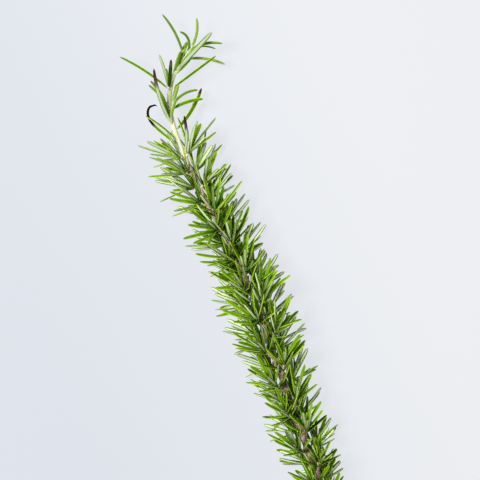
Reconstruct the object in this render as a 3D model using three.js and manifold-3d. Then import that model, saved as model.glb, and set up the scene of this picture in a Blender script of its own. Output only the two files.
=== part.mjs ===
// A cut sprig of rosemary, laid down on a flat surface.
//
// Units are millimetres and degrees. +Y runs from the cut end to the growing tip, +Z points away
// from the surface, and +X is the sprig's right side seen from above. "At" is always a distance
// along the stem from its cut end. The origin ends up under the middle of the finished sprig.
//
// The sprig is grown the way the plant grows. The stem carries pairs of side shoots, and each pair
// is turned to the other side of the one below. A side shoot carries crossed pairs of leaves, and
// the stem's own leaf stands under it. A leaf bends a little towards the light, lies flat where
// it meets the surface, and turns aside where something already grows in its way.
import * as THREE from 'three';
import { mergeVertices } from 'three/addons/utils/BufferGeometryUtils.js';
import Module from 'manifold-3d';

// ---------------------------------------------------------------- driving dimensions

// Middle line of the stem: it lies free at the cut end, rides on its leaves, and hooks to the
// right at the growing tip.
const STEM_ROUTE = [
  [-2.5, -162, 7.5], [-3.6, -140, 10], [-4.2, -115, 12], [-4.1, -90, 13], [-3.9, -65, 14],
  [-3.5, -40, 14], [-4.4, -18, 14], [-7, 5, 14], [-10.2, 28, 13.5], [-12.2, 50, 13],
  [-12.4, 70, 12], [-9.4, 84, 11.5], [-2.8, 94.5, 11], [5.5, 101.5, 11], [12.5, 106, 11],
];
const STEM_RADIUS = [
  [0, 1.85], [130, 1.45], [215, 1.11], [238, 1.3], [250, 1.3], [265, 0.9], [279, 0.55],
];
const STEM_SIDES = 8;
const NODE_SWELL = 1.14;        // the stem is this much thicker where shoots leave it
const TUFT_START = 258;         // from here on the stem's tip is one young piece with its leaves
const TUFT_RING_SPACING = 4;
const STEM_BALL_SPACING = 2;    // of the balls that stand for the stem while leaves grow
const GAP = 0.3;                // clear space between neighbouring pieces
const FINEST = 0.03;            // where parts are joined, a shorter side of a face is closed up
const SLIVER = 0.006;           // and a face lower than this is given to its neighbour

// Side shoots, by their place on the stem.
const FIRST_NODE = 16;
const NODE_SPACING = 9;
const NODE_COUNT = 23;
const ROW_TURN = [[0, 44], [50, 40], [80, 27], [175, 22], [200, 50], [220, 62]];
const OPPOSITE = 172;           // turn from one shoot of a pair to the other
const SHOOT_LENGTH = [[0, 9.5], [60, 11], [115, 11.5], [160, 8], [220, 3]];
const SHOOT_SPLAY = [[0, 44], [115, 48], [160, 48], [220, 56]];
const SHOOT_BEND = 8;
const SHOOT_RADIUS = [[0, 0.75], [1, 0.45]];
const SHOOT_SIDES = 4;
const SHOOT_STEPS = 2;
const PAIR_COUNT = [[0, 4], [40, 4.5], [60, 5], [150, 5], [165, 4], [190, 3.4], [220, 2.6]];
const LEFT_GAIN = 1.06;         // the oldest shoots are longer on the left
const RIGHT_GAIN = 0.92;        // than on the right
const GAIN_REACH = 100;         // up to this place on the stem

// Leaves.
const LEAF_WIDTH = 1.75;
const LEAF_RIM = 0.14;          // the leaf's edges stand this far above its middle line
const LEAF_KEEL = 0.3;          // and its underside this far below
const LEAF_STEPS = 8;
const TURN_PER_STEP = 20;       // a leaf that swings far has one more step for each of these
const LEAF_FOOT_WIDTH = 0.5;    // width of a leaf's foot, as a share of its full width
const LEAF_FOOT_REACH = 0.15;   // full width from this share of its length
const LEAF_TIP_REACH = 0.2;     // and a round end over this last share
const FOOT_DEPTH = 0.9;         // a leaf's foot is rooted this far down inside its shoot
const LEAF_LENGTH = [[0, 15], [60, 17], [115, 20], [220, 20.5]];
const LEAF_SPLAY = [62, 26];    // of the lowest and the topmost pair on a shoot
const FIRST_PAIR = 0.4;         // place of the lowest pair on its shoot
const TOP_LEAF = 0.82;          // length of the topmost leaf, as a share of the lowest
const STEM_LEAF_FROM = 40;      // below this the stem has shed its own leaves
const STEM_LEAF_LENGTH = [[40, 16], [120, 21], [220, 26]];
const STEM_LEAF_FOOT = 0.2;     // its foot's place on the shoot that stands over it
const STEM_LEAF_SPLAY = [[0, 60], [220, 58]];
const LIGHT = new THREE.Vector3(0.34, 0.94, 0);
const LIGHT_PULL = 0.18;
const LEAF_BEND = [4, 14];      // how far a leaf bends back towards its shoot
const CURL_SHARE = 0.25;        // this share of the leaves bends the other way
const CURL = -1.6;              // and that much further
const LEAF_RING_REACH = [0.12, 0.88];   // where the solid leaf has its first and last ring
const LEAF_SPAN_SWING = 24;     // a bent or rolled leaf has one more ring for each of these degrees

// The surface, and room to grow.
const REST_HEIGHT = 0.3;        // of the middle of a leaf that lies on the surface
const FLOOR_EASE = 5;           // a strand starts to level out this far above the surface
const LIE_REACH = 2;            // and a leaf has its own roll back this far above it
const ROOM = 0.15;              // clear space kept round each leaf
const NEARBY = 6;               // what is further off along the sprig is out of reach
const OWN_FOOT = 0.22;          // leaves of one shoot may touch in this share of their length
const LEAF_FOOT = 0.2;          // and this share stands free of every check
const TURNS = [0, 11, -11, 22, -22, 33, -33, 44, -44];   // ways aside, the nearest first
const LEANS = [0, 10, -10, 20, -20];

// How far each property strays from its rule, and the number that its draws start from.
const STRAY = {
  shootTurn: { draw: 1, spread: 5 },
  shootLength: { draw: 2, spread: 0.15 },
  shootSplay: { draw: 3, spread: 7 },
  shootPlace: { draw: 4, spread: 0.8 },
  pairTurn: { draw: 5, spread: 17 },
  rowTurn: { draw: 10, spread: 14 },
  leafSplay: { draw: 20, spread: 11 },
  leafLength: { draw: 80, spread: 0.16 },
  stemLeafSplay: { draw: 91, spread: 10 },
  stemLeafBend: { draw: 92, spread: 14 },
  leafWidth: { draw: 100, spread: 0.1 },
};
const BEND_DRAW = 40;
const CURL_DRAW = 60;

// ---------------------------------------------------------------- small helpers

const UP = new THREE.Vector3(0, 0, 1);
const radians = THREE.MathUtils.degToRad;
const mix = (a, b, t) => a + (b - a) * t;
const clamp01 = (t) => Math.min(1, Math.max(0, t));

/** A repeatable scattered number from 0 to 1, one for each draw of each seed. */
function scatter(seed, draw) {
  const value = Math.sin(seed * 12.9898 + draw * 78.233) * 43758.5453;
  return value - Math.floor(value);
}

/** How far a numbered thing of one seed strays from a rule, to either side. */
function stray({ draw, spread }, seed, number = 0) {
  return (2 * scatter(seed, draw + number) - 1) * spread;
}

/** Reads a table of [place, value] rows, straight between rows and level past its ends. */
function lookUp(table, place) {
  for (let row = 1; row < table.length; row += 1) {
    const [from, low] = table[row - 1];
    const [to, high] = table[row];
    if (place <= to) return mix(low, high, clamp01((place - from) / (to - from)));
  }
  return table[table.length - 1][1];
}

/** The part of a direction that stands square to an axis, as a unit vector. */
function squareTo(axis, direction) {
  return direction.clone().addScaledVector(axis, -direction.dot(axis)).normalize();
}

/** A direction turned from one unit vector towards another, square one by an angle. */
function tilt(from, to, angle) {
  const turned = from.clone().multiplyScalar(Math.cos(radians(angle)));
  return turned.addScaledVector(to, Math.sin(radians(angle)));
}

// ---------------------------------------------------------------- the stem's line

const stemPoints = STEM_ROUTE.map((point) => new THREE.Vector3(...point));
const stemLine = new THREE.CatmullRomCurve3(stemPoints, false, 'catmullrom', 0.5);
stemLine.arcLengthDivisions = 400;
const STEM_LENGTH = stemLine.getLength();

/** Place, direction, right and upper side, and radius of the stem at a distance along it. */
function stemAt(at) {
  const point = (place) => stemLine.getPointAt(clamp01(place / STEM_LENGTH));
  const along = point(at + 1).sub(point(at - 1)).normalize();
  const right = along.clone().cross(UP).normalize();
  const upper = right.clone().cross(along);
  return { at, centre: point(at), along, right, upper, radius: lookUp(STEM_RADIUS, at) };
}

// ---------------------------------------------------------------- growth

// Everything grown so far, as balls: [x, y, z, radius, owner, share of its leaf's length].
const occupied = [];

/** Steps a strand forward by its heading, easing it level above the surface. */
function grow(start, length, steps, heading) {
  const points = [start.clone()];
  for (let step = 0; step < steps; step += 1) {
    const here = points[step];
    const direction = heading((step + 0.5) / steps);
    if (direction.z < 0) {
      direction.z *= clamp01((here.z - REST_HEIGHT) / FLOOR_EASE);
      direction.normalize();
    }
    const next = here.clone().addScaledVector(direction, length / steps);
    next.z = Math.max(next.z, REST_HEIGHT);
    points.push(next);
  }
  return points;
}

/** Half the width of a leaf: a narrow foot, parallel sides and a round tip. */
function leafHalfWidth(share, width) {
  const foot = mix(LEAF_FOOT_WIDTH, 1, clamp01(share / LEAF_FOOT_REACH));
  const tip = Math.sqrt(1 - clamp01((share - 1 + LEAF_TIP_REACH) / LEAF_TIP_REACH) ** 2);
  return 0.5 * width * foot * tip;
}

/** Balls along a strand, one at each point and one half way to the next. */
function balls(points, radii, owner) {
  const list = [];
  const last = points.length - 1;
  for (let half = 0; half <= 2 * last; half += 1) {
    const low = Math.floor(half / 2);
    const high = Math.ceil(half / 2);
    const middle = points[low].clone().add(points[high]).multiplyScalar(0.5);
    const radius = (radii[low] + radii[high]) / 2;
    list.push([middle.x, middle.y, middle.z, radius, owner, half / (2 * last)]);
  }
  return list;
}

/** The least clear space between a strand and everything grown so far. */
function clearance(strand) {
  let least = Infinity;
  for (const [x, y, z, radius, owner, share] of strand) {
    if (share <= LEAF_FOOT) continue;
    for (const other of occupied) {
      if (Math.abs(other[1] - y) > NEARBY) continue;
      if (other[4] === owner && (share < OWN_FOOT || other[5] < OWN_FOOT)) continue;
      const apart = Math.hypot(other[0] - x, other[1] - y, other[2] - z);
      least = Math.min(least, apart - radius - other[3]);
    }
  }
  return least;
}

/** The way that a leaf's upper side faces at each point, carried along from its foot. */
function leafNormals(points, facing) {
  const last = points.length - 1;
  let normal = facing;
  return points.map((point, index) => {
    const along = points[Math.min(index + 1, last)].clone();
    along.sub(points[Math.max(index - 1, 0)]).normalize();
    normal = squareTo(along, normal);
    const lying = 1 - clamp01((point.z - REST_HEIGHT) / LIE_REACH);
    const flat = UP.clone().multiplyScalar(normal.z >= 0 ? lying : -lying);
    normal = squareTo(along, normal.clone().multiplyScalar(1 - lying).add(flat));
    return normal;
  });
}

/** Grows one leaf of a shoot, turned aside as little as its neighbours allow, or no leaf. */
function growLeaf({ start, axis, outward, splay, bend, length, width, owner }) {
  const sideways = axis.clone().cross(outward);
  for (const lean of LEANS) {
    for (const turn of TURNS) {
      const away = tilt(outward, sideways, turn);
      const heading = (share) => tilt(axis, away, splay + lean - bend * share)
        .addScaledVector(LIGHT, LIGHT_PULL).normalize();
      const points = grow(start, length, LEAF_STEPS, heading);
      const halfWidths = points.map((_, index) => leafHalfWidth(index / LEAF_STEPS, width));
      const strand = balls(points, halfWidths.map((half) => half + ROOM), owner);
      if (clearance(strand) >= 0) {
        occupied.push(...strand);
        return { points, halfWidths, normals: leafNormals(points, axis) };
      }
    }
  }
  return null;
}

/** Grows the axis of one side shoot of the stem. */
function growAxis({ name, at, turn, seed, owner }) {
  const stem = stemAt(at);
  const outward = tilt(stem.upper, stem.right, turn);
  const old = 1 - clamp01(at / GAIN_REACH);
  const gain = mix(1, turn < 0 ? LEFT_GAIN : RIGHT_GAIN, old);
  const splay = lookUp(SHOOT_SPLAY, at) + stray(STRAY.shootSplay, seed);
  const length = lookUp(SHOOT_LENGTH, at) * (1 + stray(STRAY.shootLength, seed)) * gain;
  const start = stem.centre.clone().addScaledVector(outward, stem.radius + GAP);
  const heading = (share) => tilt(stem.along, outward, splay - SHOOT_BEND * share);
  const points = grow(start, length, SHOOT_STEPS, heading);
  const radii = points.map((_, index) => lookUp(SHOOT_RADIUS, index / SHOOT_STEPS));
  occupied.push(...balls(points, radii, owner).map((ball) => [...ball.slice(0, 5), 0]));
  return { name, stem, outward, gain, seed, owner, axis: { points, radii } };
}

/** Grows the leaves of one side shoot: the stem's leaf under it, then its own pairs. */
function growLeaves({ stem, outward, gain, seed, owner, axis: { points } }) {
  const axisAt = (share) => {
    const place = share * SHOOT_STEPS;
    const from = Math.min(Math.floor(place), SHOOT_STEPS - 1);
    const axis = points[from + 1].clone().sub(points[from]).normalize();
    const foot = points[from].clone().lerp(points[from + 1], place - from);
    return { foot: foot.addScaledVector(axis, -FOOT_DEPTH), axis };
  };
  const leaves = [];
  if (stem.at >= STEM_LEAF_FROM) {
    leaves.push(growLeaf({
      start: axisAt(STEM_LEAF_FOOT).foot,
      axis: stem.along,
      outward,
      splay: lookUp(STEM_LEAF_SPLAY, stem.at) + stray(STRAY.stemLeafSplay, seed),
      bend: stray(STRAY.stemLeafBend, seed),
      length: lookUp(STEM_LEAF_LENGTH, stem.at),
      width: LEAF_WIDTH,
      owner,
    }));
  }
  const pairs = Math.round(lookUp(PAIR_COUNT, stem.at));
  for (let pair = 0; pair < pairs; pair += 1) {
    const share = pair / (pairs - 1);
    const { foot, axis } = axisAt(mix(FIRST_PAIR, 1, share));
    const upper = squareTo(axis, outward);
    const across = axis.clone().cross(upper);
    const rowTurn = (pair % 2 === 0 ? 90 : 0) + stray(STRAY.rowTurn, seed, pair);
    for (const side of [0, 1]) {
      const number = pair * 2 + side;
      const bend = mix(...LEAF_BEND, scatter(seed, BEND_DRAW + number));
      leaves.push(growLeaf({
        start: foot,
        axis,
        outward: tilt(upper, across, rowTurn + 180 * side),
        splay: mix(...LEAF_SPLAY, share) + stray(STRAY.leafSplay, seed, number),
        bend: bend * (scatter(seed, CURL_DRAW + number) < CURL_SHARE ? CURL : 1),
        length: lookUp(LEAF_LENGTH, stem.at) * gain * mix(1, TOP_LEAF, share)
          * (1 + stray(STRAY.leafLength, seed, number)),
        width: LEAF_WIDTH * (1 + stray(STRAY.leafWidth, seed, number)),
        owner,
      }));
    }
  }
  return leaves.filter((leaf) => leaf !== null);
}

// ---------------------------------------------------------------- the growing tip

// Every leaf of the tip is set by hand. Heading and turn lie in the plane of the stem: the leaf's
// direction at its foot, to the right of the stem's, and how much it swings by its end; hook above
// 1 keeps that swing for the end. Lift and drop are the same, away from the surface. Face rolls
// the leaf about its own length: 0 shows the upper side from above and 180 the underside.
const leaf = (at, heading, turn, lift, drop, length, width, face, hook = 1) => ({
  at, heading, turn, lift, drop, length, width, face, hook,
});

const TIP_PIECES = [
  {
    name: 'tip_tuft',
    foot: 'tip',
    leaves: [
      leaf(269, 45, 35, -10, 4, 23, 1.4, 0),
      leaf(274, 15, 50, 20, -10, 20, 1.8, 30),
      leaf(275, 20, 55, -16, 0, 15, 1.2, 60),
      leaf(261, 20, 0, 30, -22, 30, 2.5, 175),
      leaf(260, 35, -20, 20, -10, 13, 1.9, 150),
      leaf(276, -5, -45, 6, 0, 17, 1.4, 0),
      leaf(273, -10, -105, 14, -8, 14, 1.3, 10, 1.3),
      leaf(270, -45, -30, 4, 0, 26, 1.4, 10),
      leaf(268, -30, 25, -12, 0, 11, 2.1, 0),
      leaf(260, -10, 10, 24, -10, 13, 2.1, 20),
      leaf(262, -5, 5, 10, 0, 13, 1.9, 10),
    ],
  },
  {
    name: 'bud_front_upper',
    foot: 'bud',
    leaves: [
      leaf(251, -20, -10, 32, -14, 19, 1.8, 150),
      leaf(254, -5, -5, 50, -10, 19, 1.9, 0),
      leaf(252, -20, 5, 36, -10, 11, 1.6, 20),
    ],
  },
  {
    name: 'bud_left',
    foot: 'bud',
    leaves: [leaf(244, -25, -15, -10, 0, 14, 1.6, 20), leaf(243, -35, -10, -22, 0, 14, 1.5, 20)],
  },
  {
    name: 'bud_right',
    foot: 'bud',
    leaves: [
      leaf(242, 5, 20, 4, 0, 10, 1.6, 20),
      leaf(242, 35, 60, -8, 0, 16, 1.4, 20),
      leaf(243, 15, 10, 14, 0, 11, 1.6, 20),
    ],
  },
  {
    name: 'bud_front_lower',
    foot: 'bud',
    leaves: [leaf(234, -10, 5, 4, 0, 16, 2.2, -10), leaf(234, 20, 20, 16, -6, 12, 1.6, 20)],
  },
  { name: 'leaf_left_long', foot: 'stem', leaves: [leaf(252, -60, -15, 12, -16, 30, 1.4, 15)] },
  { name: 'leaf_right_long', foot: 'stem', leaves: [leaf(253, 42, 0, 10, 0, 28, 1.4, 20)] },
  { name: 'leaf_right_broad', foot: 'stem', leaves: [leaf(241, 65, 30, 12, -6, 17, 1.8, 10)] },
  { name: 'leaf_front_pale', foot: 'stem', leaves: [leaf(233, -15, 25, 30, -18, 32, 2, 165)] },
  {
    name: 'leaf_right_browned',
    foot: 'stem',
    leaves: [leaf(230, 60, -25, -14, 4, 26, 2.1, 20)],
  },
  { name: 'leaf_left_arched', foot: 'stem', leaves: [leaf(225, -25, -15, 20, -10, 20, 1.8, 60)] },
  {
    name: 'leaf_left_dead',
    foot: 'stem',
    leaves: [leaf(222, -30, 185, 2, -2, 31, 1.5, 10, 4.5)],
  },
  {
    name: 'leaf_front_browned',
    foot: 'stem',
    leaves: [leaf(216, 35, -25, 42, -24, 22, 1.8, 175)],
  },
];
const BUD_LENGTH = 2.4;
const BUD_SPLAY = 32;
const BUD_RADIUS = [0.7, 0.5];
const BUD_LEAF_PLACE = 0.6;     // of its leaves' feet, along the bud
const STAND_OFF = 0.55;         // from the stem's skin to the middle of a leaf's foot

/** Grows one hand-set leaf from a given foot. */
function growTipLeaf(plan, stem, start, owner) {
  const heading = (share) => {
    const swing = plan.heading + plan.turn * share ** plan.hook;
    const level = tilt(stem.along, stem.right, swing);
    return tilt(level, stem.upper, plan.lift + plan.drop * share);
  };
  const steps = LEAF_STEPS + Math.round(Math.abs(plan.turn) / TURN_PER_STEP);
  const points = grow(start, plan.length, steps, heading);
  const halfWidths = points.map((_, index) => leafHalfWidth(index / steps, plan.width));
  occupied.push(...balls(points, halfWidths.map((half) => half + ROOM), owner));
  const along = heading(0);
  const upper = squareTo(along, stem.upper);
  const facing = tilt(upper, along.clone().cross(upper), plan.face);
  return { points, halfWidths, normals: leafNormals(points, facing) };
}

/** Grows one piece of the tip: a leaf that stands on the stem, a bud with leaves, or the tuft. */
function growTipPiece({ name, foot, leaves }, owner) {
  const first = stemAt(leaves[0].at);
  const way = (plan, stem) => {
    const level = tilt(stem.along, stem.right, plan.heading);
    return squareTo(stem.along, tilt(level, stem.upper, plan.lift));
  };
  const outward = leaves.reduce((sum, plan) => sum.add(way(plan, first)), new THREE.Vector3());
  outward.normalize();
  const axis = tilt(first.along, outward, BUD_SPLAY);
  const budFoot = first.centre.clone().addScaledVector(outward, first.radius + GAP);
  const budPoints = [budFoot, budFoot.clone().addScaledVector(axis, BUD_LENGTH)];
  const grown = leaves.map((plan) => {
    const stem = stemAt(plan.at);
    if (foot === 'tip') return growTipLeaf(plan, stem, stem.centre, owner);
    if (foot === 'bud') {
      const start = budPoints[0].clone().lerp(budPoints[1], BUD_LEAF_PLACE);
      return growTipLeaf(plan, stem, start, owner);
    }
    const skin = stem.radius + STAND_OFF;
    const start = stem.centre.clone().addScaledVector(way(plan, stem), skin);
    return growTipLeaf(plan, stem, start, owner);
  });
  const bud = { points: budPoints, radii: BUD_RADIUS };
  return { name, foot, stem: first, axis: foot === 'bud' ? bud : null, leaves: grown };
}

/** Grows the whole sprig: the tip, then the shoots on the upper side, then those underneath. */
function growSprig() {
  const line = [];
  for (let at = 0; at <= STEM_LENGTH; at += STEM_BALL_SPACING) line.push(stemAt(at));
  occupied.push(...line.map(({ centre, radius }) => (
    [centre.x, centre.y, centre.z, radius * NODE_SWELL + ROOM, 0, 0]
  )));
  const tip = TIP_PIECES.map((piece, index) => growTipPiece(piece, index + 1));
  const shoots = [];
  for (const rank of ['upper', 'lower']) {
    for (let node = NODE_COUNT - 1; node >= 0; node -= 1) {
      const under = rank === 'lower' ? 1 : 0;
      const seed = node * 2 + under + 1;
      const place = FIRST_NODE + node * NODE_SPACING;
      const row = lookUp(ROW_TURN, place) + stray(STRAY.pairTurn, node) - OPPOSITE * under;
      shoots.push(growAxis({
        name: `shoot_${String(node + 1).padStart(2, '0')}_${rank}`,
        at: place + stray(STRAY.shootPlace, seed),
        turn: (node % 2 === 0 ? row : -row) + stray(STRAY.shootTurn, seed),
        seed,
        owner: 100 + seed,
      }));
    }
  }
  return [...tip, ...shoots.map((shoot) => ({ ...shoot, leaves: growLeaves(shoot) }))];
}

// ---------------------------------------------------------------- solids

/** The middle of some points. */
function middleOf(points) {
  const sum = points.reduce((total, point) => total.add(point), new THREE.Vector3());
  return sum.divideScalar(points.length);
}

/**
 * Closes a row of rings of points into one body. A ring of one point is a pointed end, and a
 * twisted side is folded so that it stands outwards.
 */
function loft(rings) {
  const points = rings.flat();
  const positions = points.flatMap((point) => [point.x, point.y, point.z]);
  const faces = [];
  let first = 0;
  for (let ring = 0; ring < rings.length - 1; ring += 1) {
    const low = rings[ring].length;
    const high = rings[ring + 1].length;
    const next = first + low;
    const core = middleOf([middleOf(rings[ring]), middleOf(rings[ring + 1])]);
    const reach = (...ends) => middleOf(ends.map((end) => points[end])).distanceTo(core);
    for (let side = 0; side < Math.max(low, high); side += 1) {
      const onward = side + 1;
      const [a, b] = [first + (side % low), first + (onward % low)];
      const [c, d] = [next + (side % high), next + (onward % high)];
      if (low === 1) faces.push(a, d, c);
      else if (high === 1) faces.push(a, b, d);
      else if (reach(a, d) > reach(b, c)) faces.push(a, b, d, a, d, c);
      else faces.push(a, b, c, b, d, c);
    }
    first = next;
  }
  const foot = rings[0].length;
  const head = rings[rings.length - 1].length;
  for (let side = 1; side < foot - 1; side += 1) faces.push(0, side + 1, side);
  for (let side = 1; side < head - 1; side += 1) faces.push(first, first + side, first + side + 1);
  const geometry = new THREE.BufferGeometry();
  geometry.setAttribute('position', new THREE.Float32BufferAttribute(positions, 3));
  geometry.setIndex(faces);
  return geometry;
}

/** A ring of points round a centre, square to its two side directions. */
function ringAt(centre, right, upper, radius, sides) {
  return Array.from({ length: sides }, (_, side) => {
    const spoke = tilt(right, upper, (360 * side) / sides);
    return centre.clone().addScaledVector(spoke, radius);
  });
}

/** The stem up to a place, swollen at its nodes, with an extra skin to cut its neighbours by. */
function stemGeometry(end, skin = 0) {
  const stemRing = (at, swell) => {
    const { centre, right, upper, radius } = stemAt(at);
    return ringAt(centre, right, upper, radius * swell + skin, STEM_SIDES);
  };
  const rings = [stemRing(0, 1)];
  for (let at = FIRST_NODE - NODE_SPACING; at < end - 1; at += NODE_SPACING / 2) {
    const place = (at - FIRST_NODE) / NODE_SPACING;
    const swollen = Number.isInteger(place) && place >= 0 && place < NODE_COUNT;
    rings.push(stemRing(at, swollen ? NODE_SWELL : 1));
  }
  return loft([...rings, stemRing(end, 1)]);
}

/** The stem's young end, running out to a point. */
function tuftGeometry() {
  const rings = [];
  for (let at = TUFT_START; at < STEM_LENGTH - 2; at += TUFT_RING_SPACING) {
    const { centre, right, upper, radius } = stemAt(at);
    rings.push(ringAt(centre, right, upper, radius, STEM_SIDES));
  }
  return loft([...rings, [stemAt(STEM_LENGTH).centre]]);
}

/** A shoot's axis or a bud. */
function axisGeometry({ points, radii }) {
  const last = points.length - 1;
  const side = squareTo(points[last].clone().sub(points[0]).normalize(), UP);
  const rings = points.map((point, index) => {
    const along = points[Math.min(index + 1, last)].clone();
    along.sub(points[Math.max(index - 1, 0)]).normalize();
    const right = squareTo(along, side);
    return ringAt(point, right, along.clone().cross(right), radii[index], SHOOT_SIDES);
  });
  return loft(rings);
}

/** A leaf: pointed at both ends, flat above and keeled below, with more rings where it turns. */
function leafGeometry({ points, halfWidths, normals }) {
  const last = points.length - 1;
  const first = points[1].clone().sub(points[0]);
  const swing = first.angleTo(points[last].clone().sub(points[last - 1]));
  const roll = normals[1].angleTo(normals[last]);
  const spans = 1 + Math.round(Math.max(swing, roll) / radians(LEAF_SPAN_SWING));
  const rings = Array.from({ length: spans + 1 }, (_, span) => {
    const place = mix(...LEAF_RING_REACH, span / spans) * last;
    const from = Math.floor(place);
    const share = place - from;
    const point = points[from].clone().lerp(points[from + 1], share);
    const along = points[from + 1].clone().sub(points[from]).normalize();
    const normal = squareTo(along, normals[from].clone().lerp(normals[from + 1], share));
    const across = along.clone().cross(normal);
    const half = mix(halfWidths[from], halfWidths[from + 1], share);
    const middle = point.clone().addScaledVector(normal, LEAF_RIM);
    return [
      middle.clone().addScaledVector(across, half),
      middle.clone().addScaledVector(across, -half),
      point.clone().addScaledVector(normal, -LEAF_KEEL),
    ];
  });
  return loft([[points[0]], ...rings, [points[last]]]);
}

const wasm = await Module();
wasm.setup();

/** A closed geometry as a solid, with its faces pointing out. */
function solid(geometry) {
  const closed = mergeVertices(geometry, 1e-5);
  const vertProperties = new Float32Array(closed.attributes.position.array);
  const triVerts = new Uint32Array(closed.index.array);
  const body = new wasm.Manifold(new wasm.Mesh({ numProp: 3, vertProperties, triVerts }));
  if (body.volume() > 0) return body;
  for (let face = 0; face < triVerts.length; face += 3) triVerts.subarray(face, face + 2).reverse();
  return new wasm.Manifold(new wasm.Mesh({ numProp: 3, vertProperties, triVerts }));
}

/** The normal of a face, as long as twice its area. */
function normalOf(points, [a, b, c]) {
  const side = points[b].clone().sub(points[a]);
  return side.cross(points[c].clone().sub(points[a]));
}

/** How high a face stands on its longest side. */
function heightOf(points, face) {
  const sides = face.map((from, corner) => points[from].distanceTo(points[face[(corner + 1) % 3]]));
  return normalOf(points, face).length() / Math.max(...sides);
}

/** Closes up one side of a face by moving a corner onto another, or returns null if it can't. */
function closeSide(points, faces, from, to) {
  const ring = (corner) => new Set(faces.filter((face) => face.includes(corner)).flat());
  const near = ring(to);
  if ([...ring(from)].filter((corner) => near.has(corner)).length !== 4) return null;
  const left = [];
  for (const face of faces) {
    const moved = face.map((corner) => (corner === from ? to : corner));
    if (new Set(moved).size < 3) continue;
    if (face.includes(from) && heightOf(points, face) > SLIVER) {
      if (normalOf(points, face).dot(normalOf(points, moved)) <= 0) return null;
    }
    left.push(moved);
  }
  return left;
}

/** Gives a side of a face to its neighbour's far corner, or returns null if that is no better. */
function swapSide(points, faces, face, corner) {
  const [a, b, c] = [face[corner], face[(corner + 1) % 3], face[(corner + 2) % 3]];
  const twin = faces.find((other) => other !== face && other.includes(a) && other.includes(b));
  const d = twin.find((other) => other !== a && other !== b);
  if (faces.some((other) => other.includes(c) && other.includes(d))) return null;
  const fresh = [[a, d, c], [d, b, c]];
  const facing = normalOf(points, twin);
  if (fresh.some((made) => normalOf(points, made).dot(facing) <= 0)) return null;
  const lowest = (pair) => Math.min(...pair.map((made) => heightOf(points, made)));
  if (lowest(fresh) <= lowest([face, twin])) return null;
  return [...faces.filter((other) => other !== face && other !== twin), ...fresh];
}

/** The faces left once the worst crumb among them is swept away, or null if there is none. */
function sweepOne(points, faces) {
  for (const face of faces) {
    for (const corner of [0, 1, 2]) {
      const [from, to] = [face[corner], face[(corner + 1) % 3]];
      if (points[from].distanceTo(points[to]) < FINEST) {
        const closed = closeSide(points, faces, from, to) ?? closeSide(points, faces, to, from);
        if (closed) return closed;
      }
    }
  }
  for (const face of faces) {
    if (heightOf(points, face) < SLIVER) {
      for (const corner of [0, 1, 2]) {
        const swapped = swapSide(points, faces, face, corner);
        if (swapped) return swapped;
      }
    }
  }
  return null;
}

/** A solid as a geometry again, without the crumbs and cracks that joining leaves behind. */
function toGeometry(body) {
  const { vertProperties, triVerts } = body.getMesh();
  const points = Array.from({ length: vertProperties.length / 3 }, (_, index) => (
    new THREE.Vector3().fromArray(vertProperties, index * 3)
  ));
  let faces = Array.from({ length: triVerts.length / 3 }, (_, index) => (
    [...triVerts.slice(index * 3, index * 3 + 3)]
  ));
  for (let swept = faces; swept; swept = sweepOne(points, faces)) faces = swept;
  const geometry = new THREE.BufferGeometry();
  geometry.setAttribute('position', new THREE.Float32BufferAttribute(vertProperties, 3));
  geometry.setIndex(faces.flat());
  return geometry;
}

/** Joins a piece's parts into one solid and cuts it clear of the stem. */
function pieceSolid(parts, stemSleeve) {
  const joined = parts.map(solid).reduce((whole, part) => whole.add(part));
  return stemSleeve ? joined.subtract(stemSleeve) : joined;
}

// ---------------------------------------------------------------- the finished sprig

const material = (color, roughness) => new THREE.MeshStandardMaterial({
  color, roughness, metalness: 0,
});
const BARK = material(0x8c7358, 0.85);
const LEAF_GREEN = material(0x5f9a1e, 0.5);
const YOUNG_GREEN = material(0x9cc24a, 0.5);
const DEAD_BROWN = material(0x3a2422, 0.8);

/** A piece's finish: dead, young or grown. */
function finishOf(name, foot) {
  if (name === 'leaf_left_dead') return DEAD_BROWN;
  return foot === 'tip' || foot === 'bud' ? YOUNG_GREEN : LEAF_GREEN;
}

/** Builds the sprig as a group of named meshes, its origin under its middle. */
function buildSprig() {
  const sprig = new THREE.Group();
  const addPiece = (name, body, finish) => {
    const mesh = new THREE.Mesh(toGeometry(body), finish);
    mesh.name = name;
    sprig.add(mesh);
  };
  addPiece('stem', solid(stemGeometry(TUFT_START - GAP)), BARK);
  const sleeve = solid(stemGeometry(TUFT_START, GAP));
  for (const { name, foot, axis, leaves } of growSprig()) {
    const parts = leaves.map(leafGeometry);
    if (axis) parts.unshift(axisGeometry(axis));
    if (foot === 'tip') parts.unshift(tuftGeometry());
    addPiece(name, pieceSolid(parts, foot === 'tip' ? null : sleeve), finishOf(name, foot));
  }
  const box = new THREE.Box3().setFromObject(sprig);
  const middle = box.getCenter(new THREE.Vector3());
  sprig.position.set(-middle.x, -middle.y, -box.min.z);
  return sprig;
}

export default buildSprig();
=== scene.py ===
"""A cut sprig of rosemary that lies on a pale table.

The sprig is grown here by the same rule as its solid model, so that each leaf lies where its
solid does. Lengths are millimetres while it grows and become metres when a mesh is made. +Y runs
from the cut end to the growing tip, +Z points away from the table, and +X is the right side seen
from above. "At" is always a distance along the stem from its cut end.

A loom, which is a Geometry Nodes tree, weaves every strand that has grown into a leaf or a twig.
"""

from __future__ import annotations

import logging
import math
from dataclasses import dataclass, field
from enum import Enum
from typing import Callable, Sequence, Union

import bpy
import numpy as np
from mathutils import Matrix, Vector


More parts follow.
